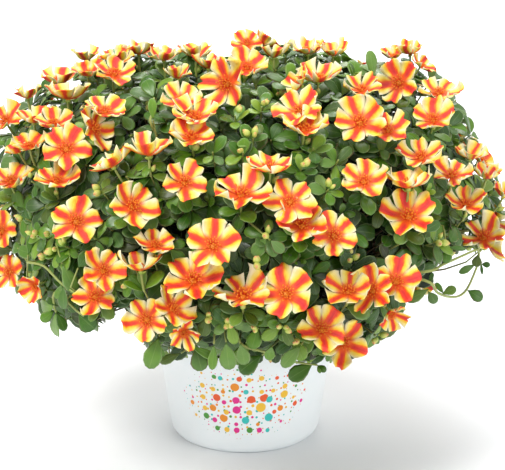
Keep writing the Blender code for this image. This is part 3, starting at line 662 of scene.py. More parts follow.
def useGroup(tree, group, **values):
    node = tree.nodes.new("ShaderNodeGroup")
    node.node_tree = group
    for title, value in values.items():
        if isinstance(value, (int, float)):
            node.inputs[title].default_value = value
        else:
            tree.links.new(value, node.inputs[title])
    return node.outputs


def toneOf(tree):
    return addNode(tree, "ShaderNodeAttribute", "tone", attribute_name="tone").outputs["Fac"]


def ownMap(tree, count=12.0):
    # along from base to tip, across from the midline (0) to the margin (1), and the marks
    uv = addNode(tree, "ShaderNodeUVMap", uv_map="UVMap")
    split = tree.nodes.new("ShaderNodeSeparateXYZ")
    tree.links.new(uv.outputs[0], split.inputs[0])
    across = times(tree, sums(tree, "ABSOLUTE", less(tree, split.outputs[1], 0.5)), 2.0)
    tone = toneOf(tree)
    marks = useGroup(tree, lengthStreaks, Along=split.outputs[0], Across=split.outputs[1],
                     Tone=tone, Count=count)
    return {"along": split.outputs[0], "across": across, "tone": tone,
            "streaks": marks["Streaks"], "patches": marks["Patches"]}


def grainOn(tree, size, spread=0.5):
    # the object's own coordinates, and the fine and the broad speckle on them
    place = tree.nodes.new("ShaderNodeTexCoord").outputs["Object"]
    marks = useGroup(tree, grain, Size=size, Spread=spread, Position=place)
    return {"place": place, "fine": marks["Fine"], "broad": marks["Broad"]}


def addBump(tree, shader, height, strength, distance):
    bump = addNode(tree, "ShaderNodeBump", None, Strength=strength, Distance=distance)
    tree.links.new(height, bump.inputs["Height"])
    tree.links.new(bump.outputs[0], shader.inputs["Normal"])


# Petals: red in the middle, through orange and yellow to cream at the margin

petalLook = {
    "rough": 0.48, "streakCount": 26.0, "wobble": 0.34, "patch": 0.42, "narrow": 0.10,
    "broad": -0.16, "throat": {0.0: 1.0, 0.24: 0.92, 0.50: 0.0}, "throatColour": "EC5A14",
    "throatWobble": 0.7, "shade": {0.0: "F4EEDC", 1.0: "FFFFFF"}, "shadeShare": 0.8, "glow": 0.06,
    "bands": {0.0: "D22A2E", 0.15: "E23A30", 0.25: "E83C20", 0.34: "F26616", 0.43: "FAA61C",
              0.52: "F9D030", 0.68: "F5E26E", 0.86: "F3E8A2", 1.0: "F3EFCE"},
}


def makePetalMaterial():
    look = petalLook
    material, tree, shader = newMaterial("petal", look["rough"])
    marks = ownMap(tree, look["streakCount"])
    wobble = times(tree, less(tree, marks["streaks"], 0.5), look["wobble"])
    patch = times(tree, less(tree, marks["patches"], 0.5), look["patch"])
    distance = plus(tree, plus(tree, marks["across"], wobble), patch)
    # the stripe is a little narrower towards the tip, and broader on some blooms
    narrow = times(tree, marks["along"], look["narrow"])
    broad = times(tree, less(tree, marks["tone"], 0.5), look["broad"])
    distance = plus(tree, plus(tree, distance, narrow), broad, True)
    bands = ramp(tree, distance, look["bands"])
    base = less(tree, marks["along"], times(tree, wobble, look["throatWobble"]))
    throat = ramp(tree, base, look["throat"], "EASE")
    colour = blendColours(tree, throat, bands, look["throatColour"])
    shade = ramp(tree, marks["tone"], look["shade"])
    colour = blendColours(tree, look["shadeShare"], colour, shade, "MULTIPLY")
    tree.links.new(colour, shader.inputs["Base Color"])
    shader.inputs["Subsurface Weight"].default_value = look["glow"]
    shader.inputs["Subsurface Radius"].default_value = (0.002, 0.002, 0.001)
    addBump(tree, shader, marks["streaks"], 0.6, 0.0009)
    return material


# Leaves: four in ten carry a grey cast that is painted sheen, one in eight is turning brown

leafLook = {
    "rough": 0.40, "streakCount": 9.0, "drawn": 913.0, "mottle": "7C9468",
    "green": {0.0: "0E2402", 0.22: "244606", 0.45: "3E6812", 0.70: "648A1E", 1.0: "A0B440"},
    # the grey share and its colour are painted sheen
    "grey": {0.60: 0.0, 0.70: 0.15, 1.0: 0.4}, "paintedSheenColour": "748A5A",
    "brown": {0.0: 0.5, 0.12: 0.25, 0.13: 0.0}, "brownColour": "4C3A22",
    "vein": {0.0: 0.25, 0.05: 0.03, 0.12: 0.0}, "veinColour": "94AC66", "veinDepth": 0.8,
    "edge": {0.82: 0.0, 0.98: 0.5},
    "rim": {0.0: "8FA86C", 0.44: "9CB476", 0.47: "84504A", 0.51: "84504A", 0.54: "A8BE80"},
    "roughness": {0.3: 0.28, 0.7: 0.48}, "coat": {0.0: 0.03, 0.5: 0.22, 1.0: 0.30},
    "coatRough": 0.28, "specular": 0.35,
}


def makeLeafMaterial():
    look = leafLook
    material, tree, shader = newMaterial("leaf", look["rough"])
    marks = ownMap(tree, look["streakCount"])
    across, tone, patches = marks["across"], marks["tone"], marks["patches"]
    green = ramp(tree, tone, look["green"])
    skin = blendColours(tree, patches, green, look["mottle"], "SOFT_LIGHT")
    draw = addNode(tree, "ShaderNodeTexWhiteNoise", "leafDraw", noise_dimensions="1D")
    tree.links.new(times(tree, tone, look["drawn"]), draw.inputs["W"])
    vein = ramp(tree, across, look["vein"])
    # painted sheen as a grey cast on some leaves, then brown leaves, veins and rims
    for share, colour in (
            (ramp(tree, draw.outputs["Value"], look["grey"]), look["paintedSheenColour"]),
            (ramp(tree, draw.outputs["Value"], look["brown"]), look["brownColour"]),
            (vein, look["veinColour"]),
            (ramp(tree, across, look["edge"]), ramp(tree, tone, look["rim"]))):
        skin = blendColours(tree, share, skin, colour)
    tree.links.new(skin, shader.inputs["Base Color"])
    tree.links.new(ramp(tree, patches, look["roughness"]), shader.inputs["Roughness"])
    # young outer leaves shine, old inner ones hardly do
    tree.links.new(ramp(tree, tone, look["coat"]), shader.inputs["Coat Weight"])
    shader.inputs["Specular IOR Level"].default_value = look["specular"]
    shader.inputs["Coat Roughness"].default_value = look["coatRough"]
    addBump(tree, shader, less(tree, patches, times(tree, vein, look["veinDepth"])), 0.3, 0.0008)
    return material


# Stems, buds, stamens and soil

stemLook = {"skin": {0.0: "26280E", 0.3: "584426", 0.55: "7C8A42", 1.0: "A2B860"},
            "flush": "8A5A40", "flushShare": 0.35}
budLook = {0.0: "86A63E", 0.45: "AFC058", 0.78: "C9C268", 0.94: "D09A62", 1.0: "C0584A"}
soilLook = {0.25: "1E140E", 0.6: "3A291D", 0.8: "5A4330"}


def makeStemMaterial():
    material, tree, shader = newMaterial("stem", 0.45)
    marks = grainOn(tree, 300.0)
    skin = ramp(tree, toneOf(tree), stemLook["skin"])
    flush = times(tree, marks["broad"], stemLook["flushShare"])
    skin = blendColours(tree, flush, skin, stemLook["flush"])
    tree.links.new(skin, shader.inputs["Base Color"])
    addBump(tree, shader, marks["fine"], 0.2, 0.0004)
    return material


def makeBudMaterial():
    material, tree, shader = newMaterial("bud", 0.42)
    marks = ownMap(tree)
    place = plus(tree, marks["along"], times(tree, less(tree, marks["patches"], 0.5), 0.3))
    tree.links.new(ramp(tree, place, budLook), shader.inputs["Base Color"])
    addBump(tree, shader, marks["streaks"], 0.25, 0.0005)
    return material


def makeStamenMaterial():
    material, tree, shader = newMaterial("stamens", 0.5)
    marks = ownMap(tree)
    hue = blendColours(tree, marks["along"], "E4480E", "F6AE22")
    hue = blendColours(tree, times(tree, marks["patches"], 0.5), hue, "C93A12")
    tree.links.new(hue, shader.inputs["Base Color"])
    return material


def makeSoilMaterial():
    material, tree, shader = newMaterial("compost", 0.95)
    fine = grainOn(tree, 420.0, 1.4)["fine"]
    tree.links.new(ramp(tree, fine, soilLook), shader.inputs["Base Color"])
    addBump(tree, shader, fine, 0.8, 0.002)
    return material


# The pot's white plastic, with a patch of dots printed round the front of its outer wall

potPaint = {"white": ("F1F8FA", "F8FBFC"), "roughness": {0.3: 0.33, 0.7: 0.44},
            "radius": 0.0745, "middle": 0.050, "halfWidth": 0.062, "halfHeight": 0.036,
            "wallSlope": 0.14, "wallRadius": 0.0634,
            "dots": ((0.0052, 0.34, 0.9), (0.0105, 0.46, 1.0))}


def squared(tree, value):
    return sums(tree, "POWER", sums(tree, "ABSOLUTE", value), 2.0)


def makePotMaterial():
    look = potPaint
    material, tree, shader = newMaterial("whitePlastic", 0.36)
    marks = grainOn(tree, 700.0)
    # the wall unrolled: distance round from the front, and height
    split = tree.nodes.new("ShaderNodeSeparateXYZ")
    tree.links.new(marks["place"], split.inputs[0])
    side, front, tall = split.outputs[0], times(tree, split.outputs[1], -1.0), split.outputs[2]
    around = times(tree, sums(tree, "ARCTAN2", side, front), look["radius"])
    height = less(tree, tall, look["middle"])
    flat = tree.nodes.new("ShaderNodeCombineXYZ")
    tree.links.new(around, flat.inputs[0])
    tree.links.new(height, flat.inputs[1])
    across = squared(tree, sums(tree, "DIVIDE", around, look["halfWidth"]))
    above = squared(tree, sums(tree, "DIVIDE", height, look["halfHeight"]))
    patch = sums(tree, "POWER", less(tree, 1.0, plus(tree, across, above), True), 0.5)
    # the print is on the outer wall only
    span = sums(tree, "POWER", plus(tree, squared(tree, side), squared(tree, front)), 0.5)
    inner = plus(tree, times(tree, tall, look["wallSlope"]), look["wallRadius"])
    outer = sums(tree, "GREATER_THAN", less(tree, span, inner), 0.0)
    patch = times(tree, patch, outer)
    colour = blendColours(tree, marks["broad"], *look["white"])
    for size, largest, share in look["dots"]:
        dots = useGroup(tree, printedDots, Size=size, Largest=largest, Place=flat.outputs[0],
                        Patch=times(tree, patch, share))
        colour = blendColours(tree, dots["Mask"], colour, dots["Colour"])
    tree.links.new(colour, shader.inputs["Base Color"])
    tree.links.new(ramp(tree, marks["broad"], look["roughness"]), shader.inputs["Roughness"])
    addBump(tree, shader, marks["fine"], 0.08, 0.0002)
    return material


petalMaterial = makePetalMaterial()
leafMaterial = makeLeafMaterial()
stemMaterial = makeStemMaterial()
budMaterial = makeBudMaterial()
stamenMaterial = makeStamenMaterial()
potMaterial = makePotMaterial()
soilMaterial = makeSoilMaterial()
print("materials made")


# Floor

def addFloor():
    bpy.ops.mesh.primitive_plane_add(size=24, location=(0, 6, 0))
    floor = newPiece()
    floor.name = "floor"
    material, tree, shader = newMaterial("paleFloor", 0.7)
    colour = blendColours(tree, grainOn(tree, 20.0)["broad"], "F2F4F6", "F5F6F7")
    tree.links.new(colour, shader.inputs["Base Color"])
    floor.data.materials.append(material)


deselectAll()
addFloor()


# Pot: a ring widened, raised and turned in, one step at a time

potLook = {
    "sides": 96,
    "profile": (
        (0.0575, 0.0046), (0.0612, 0.0056), (0.0628, 0.0090), (0.0710, 0.0560),
        (0.0788, 0.1040), (0.0796, 0.1100), (0.0803, 0.1155), (0.0812, 0.1174),
        (0.0826, 0.1180), (0.0841, 0.1174), (0.0848, 0.1158), (0.0848, 0.1112),
        (0.0843, 0.1098), (0.0832, 0.1090), (0.0823, 0.1086), (0.0819, 0.1070),
        (0.0722, 0.0500), (0.0668, 0.0112), (0.0664, 0.0084), (0.0656, 0.0052),
        (0.0641, 0.0026), (0.0622, 0.0008), (0.0602, 0.0001), (0.0560, 0.0000),
        (0.0535, 0.0012), (0.0525, 0.0014)),
    "drains": 4,
    "drainCircle": 0.038,
    "drainRadius": 0.0045,
}


def turnProfile(profile):
    # each extruded ring is moved up and widened to the next radius and height
    deselectAll()
    radius, height = profile[0]
    bpy.ops.mesh.primitive_circle_add(vertices=potLook["sides"], radius=radius,
                                      fill_type="NOTHING", location=(0, 0, height))
    piece = newPiece()
    settle(piece)
    bpy.ops.object.mode_set(mode="EDIT")
    bpy.ops.mesh.select_all(action="SELECT")
    for wide, tall in profile[1:]:
        bpy.ops.mesh.extrude_region_move(
            TRANSFORM_OT_translate={"value": (0, 0, tall - height)})
        bpy.ops.transform.resize(value=(wide / radius, wide / radius, 1),
                                 center_override=(0, 0, tall))
        radius, height = wide, tall
    bpy.ops.mesh.edge_face_add()
    bpy.ops.mesh.select_all(action="DESELECT")
    bpy.ops.object.mode_set(mode="OBJECT")
    # the first ring is picked again, to close the floor inside
    for vertex in piece.data.vertices:
        if (abs(vertex.co.z - profile[0][1]) < 0.00001
                and abs(math.hypot(vertex.co.x, vertex.co.y) - profile[0][0]) < 0.0001):
            vertex.select = True
    bpy.ops.object.mode_set(mode="EDIT")
    bpy.ops.mesh.select_mode(type="VERT")
    bpy.ops.mesh.edge_face_add()
    bpy.ops.mesh.select_all(action="SELECT")
    bpy.ops.mesh.normals_make_consistent(inside=False)
    bpy.ops.object.mode_set(mode="OBJECT")
    return piece


def drillDrain(piece, around):
    deselectAll()
    bpy.ops.mesh.primitive_cylinder_add(
        vertices=24, radius=potLook["drainRadius"], depth=0.03,
        location=(potLook["drainCircle"] * math.cos(around),
                  potLook["drainCircle"] * math.sin(around), 0))
    cutter = newPiece()
    cut = piece.modifiers.new("drain", "BOOLEAN")
    cut.object = cutter
    cut.operation = "DIFFERENCE"
    cut.solver = "EXACT"
    applyAll(piece)
    dropModel(cutter)


pot = turnProfile(potLook["profile"])
for hole in range(potLook["drains"]):
    drillDrain(pot, math.radians(45 + 360 / potLook["drains"] * hole))
paintAll([pot], potMaterial)
pot.data.shade_smooth()
pick([pot])
bpy.ops.object.shade_smooth_by_angle(angle=math.radians(32))
pot.name = "flowerPot"
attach(pot, "root")
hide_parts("pot")
paintAll([bpy.data.objects["soil"]], soilMaterial)
print("pot made")


# One petal, and a bloom of five, a unit wide from the middle

petalShape = {
    "steps": 8, "notch": 0.09, "notchWidth": 0.20, "corner": 0.30, "crease": 0.06,
    "ruffle": 0.11, "overlap": 0.05, "thick": 0.018, "wave": (0.6, 1.4), "droop": (-0.14, 0.06),
    "curl": (0.02, 0.16), "sway": (-0.06, 0.06), "breadth": (0.90, 1.10), "notched": (0.0, 1.6),
    "foot": 0.05, "reach": 0.97, "fullAt": 0.88, "ripple": 0.03,
}


def drawFrom(draws, look, *keys):
    return [draws.uniform(*look[key]) for key in keys]


def makePetal(cup, wide, draws):
    look = petalShape
    deselectAll()
    bpy.ops.mesh.primitive_grid_add(x_subdivisions=look["steps"], y_subdivisions=look["steps"],
                                    size=2)
    petal = newPiece()
    setMap(petal, lambda co: ((co.x + 1) / 2, (co.y + 1) / 2))
    phase = draws.uniform(*anyTurn)
    wave, droop, curl, sway, breadth, notched = drawFrom(
        draws, look, "wave", "droop", "curl", "sway", "breadth", "notched")
    wide, notched = wide * breadth, look["notch"] * notched

    def rule(co):
        t, side = (co.x + 1) / 2, co.y
        half = wide * math.sin(min(t / look["fullAt"], 1) * math.pi / 2) ** 0.75
        notch = notched * math.exp(-((side - sway) / look["notchWidth"]) ** 2) * t ** 3
        corner = look["corner"] * abs(side) ** 2.8 * t ** 2
        ripple = look["ripple"] * math.sin(phase * 2 + 6 * side) * t ** 3
        along = look["foot"] + look["reach"] * t * (1 - notch - corner + ripple)
        height = cup * (0.50 * t + 0.50 * t * t)
        height -= look["crease"] * (1 - abs(side)) * math.sin(math.pi * t)
        height += (look["ruffle"] * wave * t * t * abs(side) ** 1.3
                   * math.sin(phase + 4.0 * side + 4.5 * t))
        height += droop * t ** 5 + look["overlap"] * side * (0.25 + 0.75 * t)
        height += curl * side * side * t * t
        return Vector((along, side * (half + 0.02) + sway * t * t, height))
    reshape(petal, rule)
    thick = petal.modifiers.new("thick", "SOLIDIFY")
    thick.thickness = look["thick"]
    thick.offset = -1
    applyAll(petal)
    petal.data.materials.append(petalMaterial)
    return petal


stamenLook = {"count": 28, "inner": 0.09, "outer": 0.30, "tall": (0.16, 0.30), "anther": 0.032,
              "turn": 2.39996, "spread": (0.8, 1.15), "boss": (0.13, 0.13, 0.06, 1)}


def makeStamens(draws):
    look, made = stamenLook, []
    for number in range(look["count"]):
        around = number * look["turn"]
        share = math.sqrt((number + 0.5) / look["count"])
        way = Vector((math.cos(around), math.sin(around), 0))
        foot = way * look["inner"] * share
        foot.z = 0.01
        top = way * look["outer"] * share * draws.uniform(*look["spread"])
        top.z = draws.uniform(*look["tall"]) * (1.1 - 0.35 * share)
        deselectAll()
        bpy.ops.mesh.primitive_cone_add(vertices=3, radius1=0.014, radius2=0.009,
                                        depth=(top - foot).length, end_fill_type="NOTHING")
        stalk = newPiece()
        setMap(stalk, lambda co: (0.0, 0.5))
        turn = (top - foot).to_track_quat("Z", "Y").to_matrix().to_4x4()
        stalk.data.transform(Matrix.Translation((top + foot) / 2) @ turn)
        anther = addBall(4, 3, lambda co: (0.65, 0.5), None, look["anther"])
        anther.data.transform(Matrix.Translation(top) @ turn @ Matrix.Diagonal((1, 1, 1.5, 1)))
        made += [stalk, anther]
    boss = addBall(8, 5, lambda co: (0.9, 0.5))
    boss.data.transform(Matrix.Diagonal(look["boss"]))
    made.append(boss)
    paintAll(made, stamenMaterial)
    return made


def cupRule(co):
    t = (co.z + 1) / 2
    wide = 0.085 + 0.075 * t
    return Vector((co.x * wide, co.y * wide, -0.19 + 0.19 * t))


def sepalRule(co):
    t = (co.z + 1) / 2
    wide = 0.13 * (1 - 0.35 * t)
    curve = 0.11 + 0.16 * t
    return Vector((curve + co.x * 0.018, co.y * wide, -0.17 + 0.19 * t - 0.05 * t * t))


def makeCalyx():
    # the green cup under the petals, with its two sepals
    parts = [addBall(8, 6, lambda co: (0.35 + 0.2 * co.z, 0.5), cupRule)]
    for turned in (0, math.pi):
        sepal = addBall(6, 6, lambda co: (0.3 + 0.3 * co.z, 0.5), sepalRule)
        sepal.data.transform(Matrix.Rotation(turned + 0.5, 4, "Z"))
        parts.append(sepal)
    paintAll(parts, budMaterial)
    return parts


def makeBloomModel(name, cup, wide, seed):
    draws = random.Random(seed)
    parts = []
    for number in range(5):
        petal = makePetal(cup * draws.uniform(0.78, 1.22), wide, draws)
        size = draws.uniform(0.92, 1.04)
        petal.data.transform(Matrix.Rotation(math.radians(72 * number), 4, "Z")
                             @ Matrix.Diagonal((size, size, 1, 1)))
        parts.append(petal)
    return joinAs(name, parts + makeStamens(draws) + makeCalyx())


bloomCups = (0.33, 0.44, 0.62)
bloomWidths = (0.37, 0.41, 0.45, 0.39)
bloomModels = {}
for cup in bloomCups:
    for variant, wide in enumerate(bloomWidths):
        percent = int(cup * 100)
        bloomModels[cup, variant] = makeBloomModel(f"bloomModel_{percent}_{variant}", cup, wide,
                                                   percent * 7 + variant)
print("bloom models:", len(bloomModels))


# Leaf and bud: pillows along Z, a unit long, upper side towards X

leafShape = {"segments": 8, "rings": 6, "thick": 0.052, "base": 0.32, "push": 0.74, "fullAt": 0.55}
leafKinds = ((0.60, 0.10, 0.16), (0.66, 0.16, 0.05), (0.54, 0.05, 0.24),
             (0.62, 0.20, 0.12), (0.70, 0.08, 0.18), (0.50, 0.14, 0.02))
budWidths = (0.30, 0.38)


def pillowMap(co):
    # an upright sphere read as a blade: along in U, across in V
    wide = math.hypot(co.x, co.y)
    side = co.y / wide if wide > 0.001 else 0.0
    return ((co.z + 1) / 2, 0.5 + 0.5 * side)


def makeLeafModel(name, wide, fold, bend):
    look = leafShape

    def rule(co):
        along = ((co.z + 1) / 2) ** look["push"]
        ease = min(along / look["fullAt"], 1.0)
        narrow = look["base"] + (1 - look["base"]) * ease * ease * (3 - 2 * ease)
        side = co.y * wide / 2 * narrow
        height = co.x * look["thick"] * (0.6 + 0.4 * narrow)
        height += fold * abs(side) / (wide / 2) * 0.5 - bend * along * along
        return Vector((height, side, along))
    leaf = addBall(look["segments"], look["rings"], pillowMap, rule)
    paintAll([leaf], leafMaterial)
    leaf.name = name
    return leaf


def makeBudModel(name, wide):
    def rule(co):
        t = (co.z + 1) / 2
        point = 1.0 - 0.72 * t * t * t
        keel = 1 + 0.10 * math.cos(2 * math.atan2(co.y, co.x))
        return Vector((co.x * wide * point * keel, co.y * wide * point, t))
    bud = addBall(8, 6, pillowMap, rule)
    paintAll([bud], budMaterial)
    bud.name = name
    return bud


leafModels = [makeLeafModel(f"leafModel_{k}", *kind) for k, kind in enumerate(leafKinds)]
budModels = [makeBudModel(f"budModel_{k}", wide) for k, wide in enumerate(budWidths)]


# Room kept clear in front of each bloom

clearLook = {"column": 0.016, "sink": 0.0015, "lensRoom": 0.82, "near": 0.045, "lowest": 0.0795,
             "lowestFree": 0.068, "overRim": 0.121, "pastRim": 0.0875, "margin": 3, "past": 1.06,
             "lensNear": 0.016, "before": 0.001}
boxLow = Vector(cadBounds[0]) + Vector((0.001, 0.001, 0))
boxHigh = Vector(cadBounds[1]) - Vector((0.001, 0.001, 0.001))


def lensFrame(point):
    # across and down seen from the lens, with the distance from it
    way = point - lensPlace
    depth = way.dot(ahead)
    return Vector((way.x / depth, way.dot(upward) / depth, 0)), depth


bloomTree, lensTree = KDTree(len(blooms)), KDTree(len(blooms))
for k, bloom in enumerate(blooms):
    bloomTree.insert(bloom["place"], k)
    spot, bloom["depth"] = lensFrame(bloom["place"])
    # a bloom of the back is set aside, as the lens doesn't see it
    lensTree.insert(spot if k < len(seenBlooms) else Vector((9 + k, 0, 0)), k)
bloomTree.balance()
lensTree.balance()


def inBox(point, lowest):
    return (lowest <= point.z < boxHigh.z and boxLow.x < point.x < boxHigh.x
            and boxLow.y < point.y < boxHigh.y)


def coversBloom(point):
    look = clearLook
    for _, k, _ in bloomTree.find_range(point, look["near"]):
        bloom = blooms[k]
        way = point - bloom["place"]
        tall = way.dot(bloom["normal"])
        part = (way - bloom["normal"] * tall).length / bloom["radius"]
        level = bloom["cup"] * bloom["radius"] * (0.5 * part + 0.5 * part * part)
        if part <= look["past"] and level - look["sink"] < tall < level + look["column"]:
            return True
    spot, depth = lensFrame(point)
    return any(depth < blooms[k]["depth"] + look["before"]
               and gap * depth < blooms[k]["radius"] * look["lensRoom"]
               for _, k, gap in lensTree.find_range(spot, look["lensNear"]))


def blocked(points, free=False):
    # true where a blade's points would pierce or cover a bloom or the pot, or leave the box
    look = clearLook
    for point in points:
        if not inBox(point, look["lowestFree"] if free else look["lowest"]):
            return True
        if point.z < look["overRim"] and math.hypot(point.x, point.y) < look["pastRim"]:
            return True
        if not (free or inPicture(point, look["margin"])) or coversBloom(point):
            return True
    return False


# Shoots: each a curved line from its main stem, with leaves round it

# what each leafy stem holds until it is joined, and each leaf as a flat four-sided screen,
# to find where the mound can be seen through
cells = [{"lines": [], "parts": []} for _ in stems]
screens = []
layout = random.Random(29)

stemShape = {"foot": 0.0801, "fork": 0.061, "ring": ((0.060, 0.134), (0.074, 0.146))}
shootLook = {"tube": 0.00105, "stemTube": 0.0020, "trailTube": 0.00135, "stalkTube": 0.0011,
             "steps": 4, "bow": 0.35, "root": (0.35, 1.0), "rootPull": 0.8, "bare": 3}


def stemPath(number):
    way, (x, y) = stems[number]
    foot, fork = Vector((x, y, stemShape["foot"])), crown + way * stemShape["fork"]
    if number == 0:
        return [foot, Vector((0.001, 0.001, 0.125)), Vector((-0.001, 0.001, 0.165)), fork]
    if number <= mound["upperStems"]:
        return [foot, Vector((x, y, 0.126)), Vector((x * 1.05, y * 1.05, 0.160)), fork]
    side = Vector((x, y, 0)).normalized()
    return [foot, Vector((x, y, 0.118))] + [side * wide + Vector((0, 0, tall))
                                            for wide, tall in stemShape["ring"]]


def smoothLine(points, steps):
    # a Catmull-Rom line through points
    line = []
    padded = [points[0]] + list(points) + [points[-1]]
    for k in range(1, len(padded) - 2):
        a, b, c, d = padded[k - 1:k + 3]
        for step in range(steps):
            t = step / steps
            line.append(0.5 * (2 * b + (c - a) * t + (2 * a - 5 * b + 4 * c - d) * t * t
                               + (3 * b - a - 3 * c + d) * t ** 3))
    line.append(points[-1].copy())
    return line


def bowLine(start, startWay, end, endWay, steps):
    # a line that leaves one point and meets another along given directions
    span = (end - start).length
    b, c = start + startWay * span * shootLook["bow"], end - endWay * span * shootLook["bow"]
    line = []
    for step in range(steps + 1):
        t = step / steps
        u = 1 - t
        line.append(start * u ** 3 + b * 3 * u * u * t + c * 3 * u * t * t + end * t ** 3)
    return line


def alongLine(line, back):
    # a place and a direction, a length back from the line's end
    for k in range(len(line) - 1, 0, -1):
        span = (line[k] - line[k - 1]).length
        if back <= span or k == 1:
            share = min(back / max(span, 1e-6), 1)
            return line[k].lerp(line[k - 1], share), (line[k] - line[k - 1]).normalized()
        back -= span


# tone gained by leaves high on the mound, and tone lost deep in the mound as painted shade
leafTone = {"topGain": 0.3, "topFrom": 0.5, "paintedShadeFrom": 0.97, "paintedShadeLoss": 2.0}


def addLeaf(cell, base, along, up, size, tone, free=False, broad=1.0):
    along = along.normalized()
    across = along.cross(up).normalized()
    up = across.cross(along).normalized()
    kind = layout.randrange(len(leafModels))
    # leaves deeper in the mound are darkened, as painted shade; leaves high on the mound are made
    # lighter
    way = (base - crown).normalized()
    out = (base - crown).length / reach(way)
    tone += leafTone["topGain"] * max(way.z - leafTone["topFrom"], 0)
    deep = leafTone["paintedShadeFrom"] - min(out, leafTone["paintedShadeFrom"])
    tone = min(max(tone - deep * leafTone["paintedShadeLoss"], 0), 1)
    wide = leafKinds[kind][0] * broad
    tip, middle = base + along * size, base + along * size * 0.6
    left, right = middle + across * size * wide * 0.5, middle - across * size * wide * 0.5
    if blocked((tip, left, right, base + along * size * 0.3), free):
        return False
    matrix = Matrix.Translation(base) @ Matrix((up, across, along)).transposed().to_4x4()
    matrix = matrix @ Matrix.Diagonal((size, size * broad, size, 1))
    cells[cell]["parts"].append(copyTo(leafModels[kind], matrix, tone))
    screens.append((base, left, tip, right))
    return True


budSpread = {"lean": (0.35, 0.8), "size": (0.0055, 0.0085), "off": (0.001, 0.004)}


def addBuds(cell, place, way, count):
    for _ in range(count):
        frameHere = frameOf(way, layout.uniform(*anyTurn))
        lean = 0.0 if count == 1 else layout.uniform(*budSpread["lean"])
        direction = (frameHere @ Vector((math.sin(lean), 0, math.cos(lean)))).normalized()
        size = layout.uniform(*budSpread["size"])
        base = place + direction * layout.uniform(*budSpread["off"])
        matrix = Matrix.Translation(base) @ frameOf(direction, layout.uniform(*anyTurn)).to_4x4()
        if not blocked((base + direction * size,)):
            model = layout.choice(budModels)
            cells[cell]["parts"].append(copyTo(model, matrix @ Matrix.Scale(size, 4),
                                               layout.uniform(0, 1)))


def leafWay(way, around, rise):
    return frameOf(way, around) @ Vector((math.cos(rise), 0, math.sin(rise)))


dressLook = {"steepFrom": 0.55, "steepGain": 1.3, "jitter": (-0.2, 0.2), "rise": (-0.15, 0.60),
             "lower": 0.30, "shorter": 0.10, "back": (0, 0.004), "whorlTone": (-0.25, 0.25),
             "first": 0.007, "turn": 2.4, "sideRise": (0.1, 0.8), "again": 1.2, "small": 0.97,
             "sideTone": (-0.2, 0.2), "darker": 0.12, "apart": (0.0055, 0.0085)}


def dressLine(cell, line, whorl, pairs, tone, top=0.0, sizes=(0.017, 0.023)):
    # a whorl near the tip, then leaves that alternate down the shoot; gives the whorl's count
    look, draw, made = dressLook, layout.uniform, 0
    place, way = alongLine(line, top)
    first = draw(*anyTurn)
    # on top of the mound the leaves stand steeper
    steep = max(way.z - look["steepFrom"], 0) * look["steepGain"]
    for number in range(whorl):
        around = first + wholeTurn / whorl * number + draw(*look["jitter"])
        for attempt in range(3):
            rise = draw(*look["rise"]) + steep - look["lower"] * attempt
            along = leafWay(way, around, rise)
            size = draw(*sizes) * (1 - look["shorter"] * attempt)
            if addLeaf(cell, place - way * draw(*look["back"]), along, way, size,
                       tone + draw(*look["whorlTone"])):
                made += 1
                break
    back, around = top + look["first"], first
    for _ in range(pairs):
        place, way = alongLine(line, back)
        around += look["turn"]
        rise = draw(*look["sideRise"])
        for attempt in range(2):
            along = leafWay(way, around + attempt * look["again"], rise)
            if addLeaf(cell, place, along, way, draw(*sizes) * look["small"],
                       tone - look["darker"] + draw(*look["sideTone"])):
                break
        back += draw(*look["apart"])
    return made


def shootTo(tip, tipWay):
    # a shoot from the main stem nearest in direction, and the leafy stem it belongs to
    cell = stemOf((tip - crown).normalized())
    low, high = stemPath(cell)[2:]
    start = low.lerp(high, layout.uniform(*shootLook["root"]))
    pull = shootLook["rootPull"] * (tip - start).normalized()
    return cell, bowLine(start, ((high - low).normalized() + pull).normalized(), tip, tipWay, 7)


def keepShoot(cell, line, made=shootLook["bare"]):
    # a shoot whose whorl has too few leaves isn't drawn
    if made >= shootLook["bare"]:
        cells[cell]["lines"].append((line, shootLook["tube"]))


for number in range(len(stems)):
    cells[number]["lines"].append((smoothLine(stemPath(number), shootLook["steps"]),
                                   shootLook["stemTube"]))


# The shoots that carry the blooms; each bloom's stalk is sunk in the shoot's tip

carryLook = {"calyx": 0.17, "outward": 0.55, "neck": 0.006, "sunk": 0.0022, "young": 0.35,
             "whorl": 6, "pairs": 6, "tone": 0.62, "top": 0.0005, "sizes": (0.016, 0.0215)}


def carryBloom(bloom):
    look, normal = carryLook, bloom["normal"]
    out = (bloom["place"] - crown).normalized()
    base = bloom["place"] - normal * look["calyx"] * bloom["radius"]
    back = (normal + out * look["outward"]).normalized()
    tip = base - normal * look["neck"] - back * look["neck"]
    cell, line = shootTo(tip, back)
    bloom["stalk"] = bowLine(tip - back * look["sunk"], back, base, normal, 4)
    young = layout.random() < look["young"]
    dressLine(cell, line, look["whorl"], look["pairs"], look["tone"], look["top"], look["sizes"])
    keepShoot(cell, line)
    if young:
        addBuds(cell, tip, back, layout.choice((1, 2)))


for bloom in blooms:
    carryBloom(bloom)


# Shoots that trail or stand clear of the mound, then the leaves that show singly

trailLook = {"rooted": (0.7, 0.3), "spread": 0.9, "onward": 0.5, "sideways": 0.8, "endSide": 0.15,
             "tilts": (0.2, 0.6, -0.2, 0.9), "sizes": (0.018, 0.023), "tone": (0.45, 0.8)}
singleLook = {"sunk": 2, "behind": 0.002, "turn": (-0.3, 0.3), "tone": (0.38, 0.68)}


def offMound(across, down, nearer):
    # the place at a pixel, some millimetres nearer to the lens than the mound's skin
    spot = seenPoint(across, down)
    return spot + (lensPlace - spot).normalized() * nearer / 1000


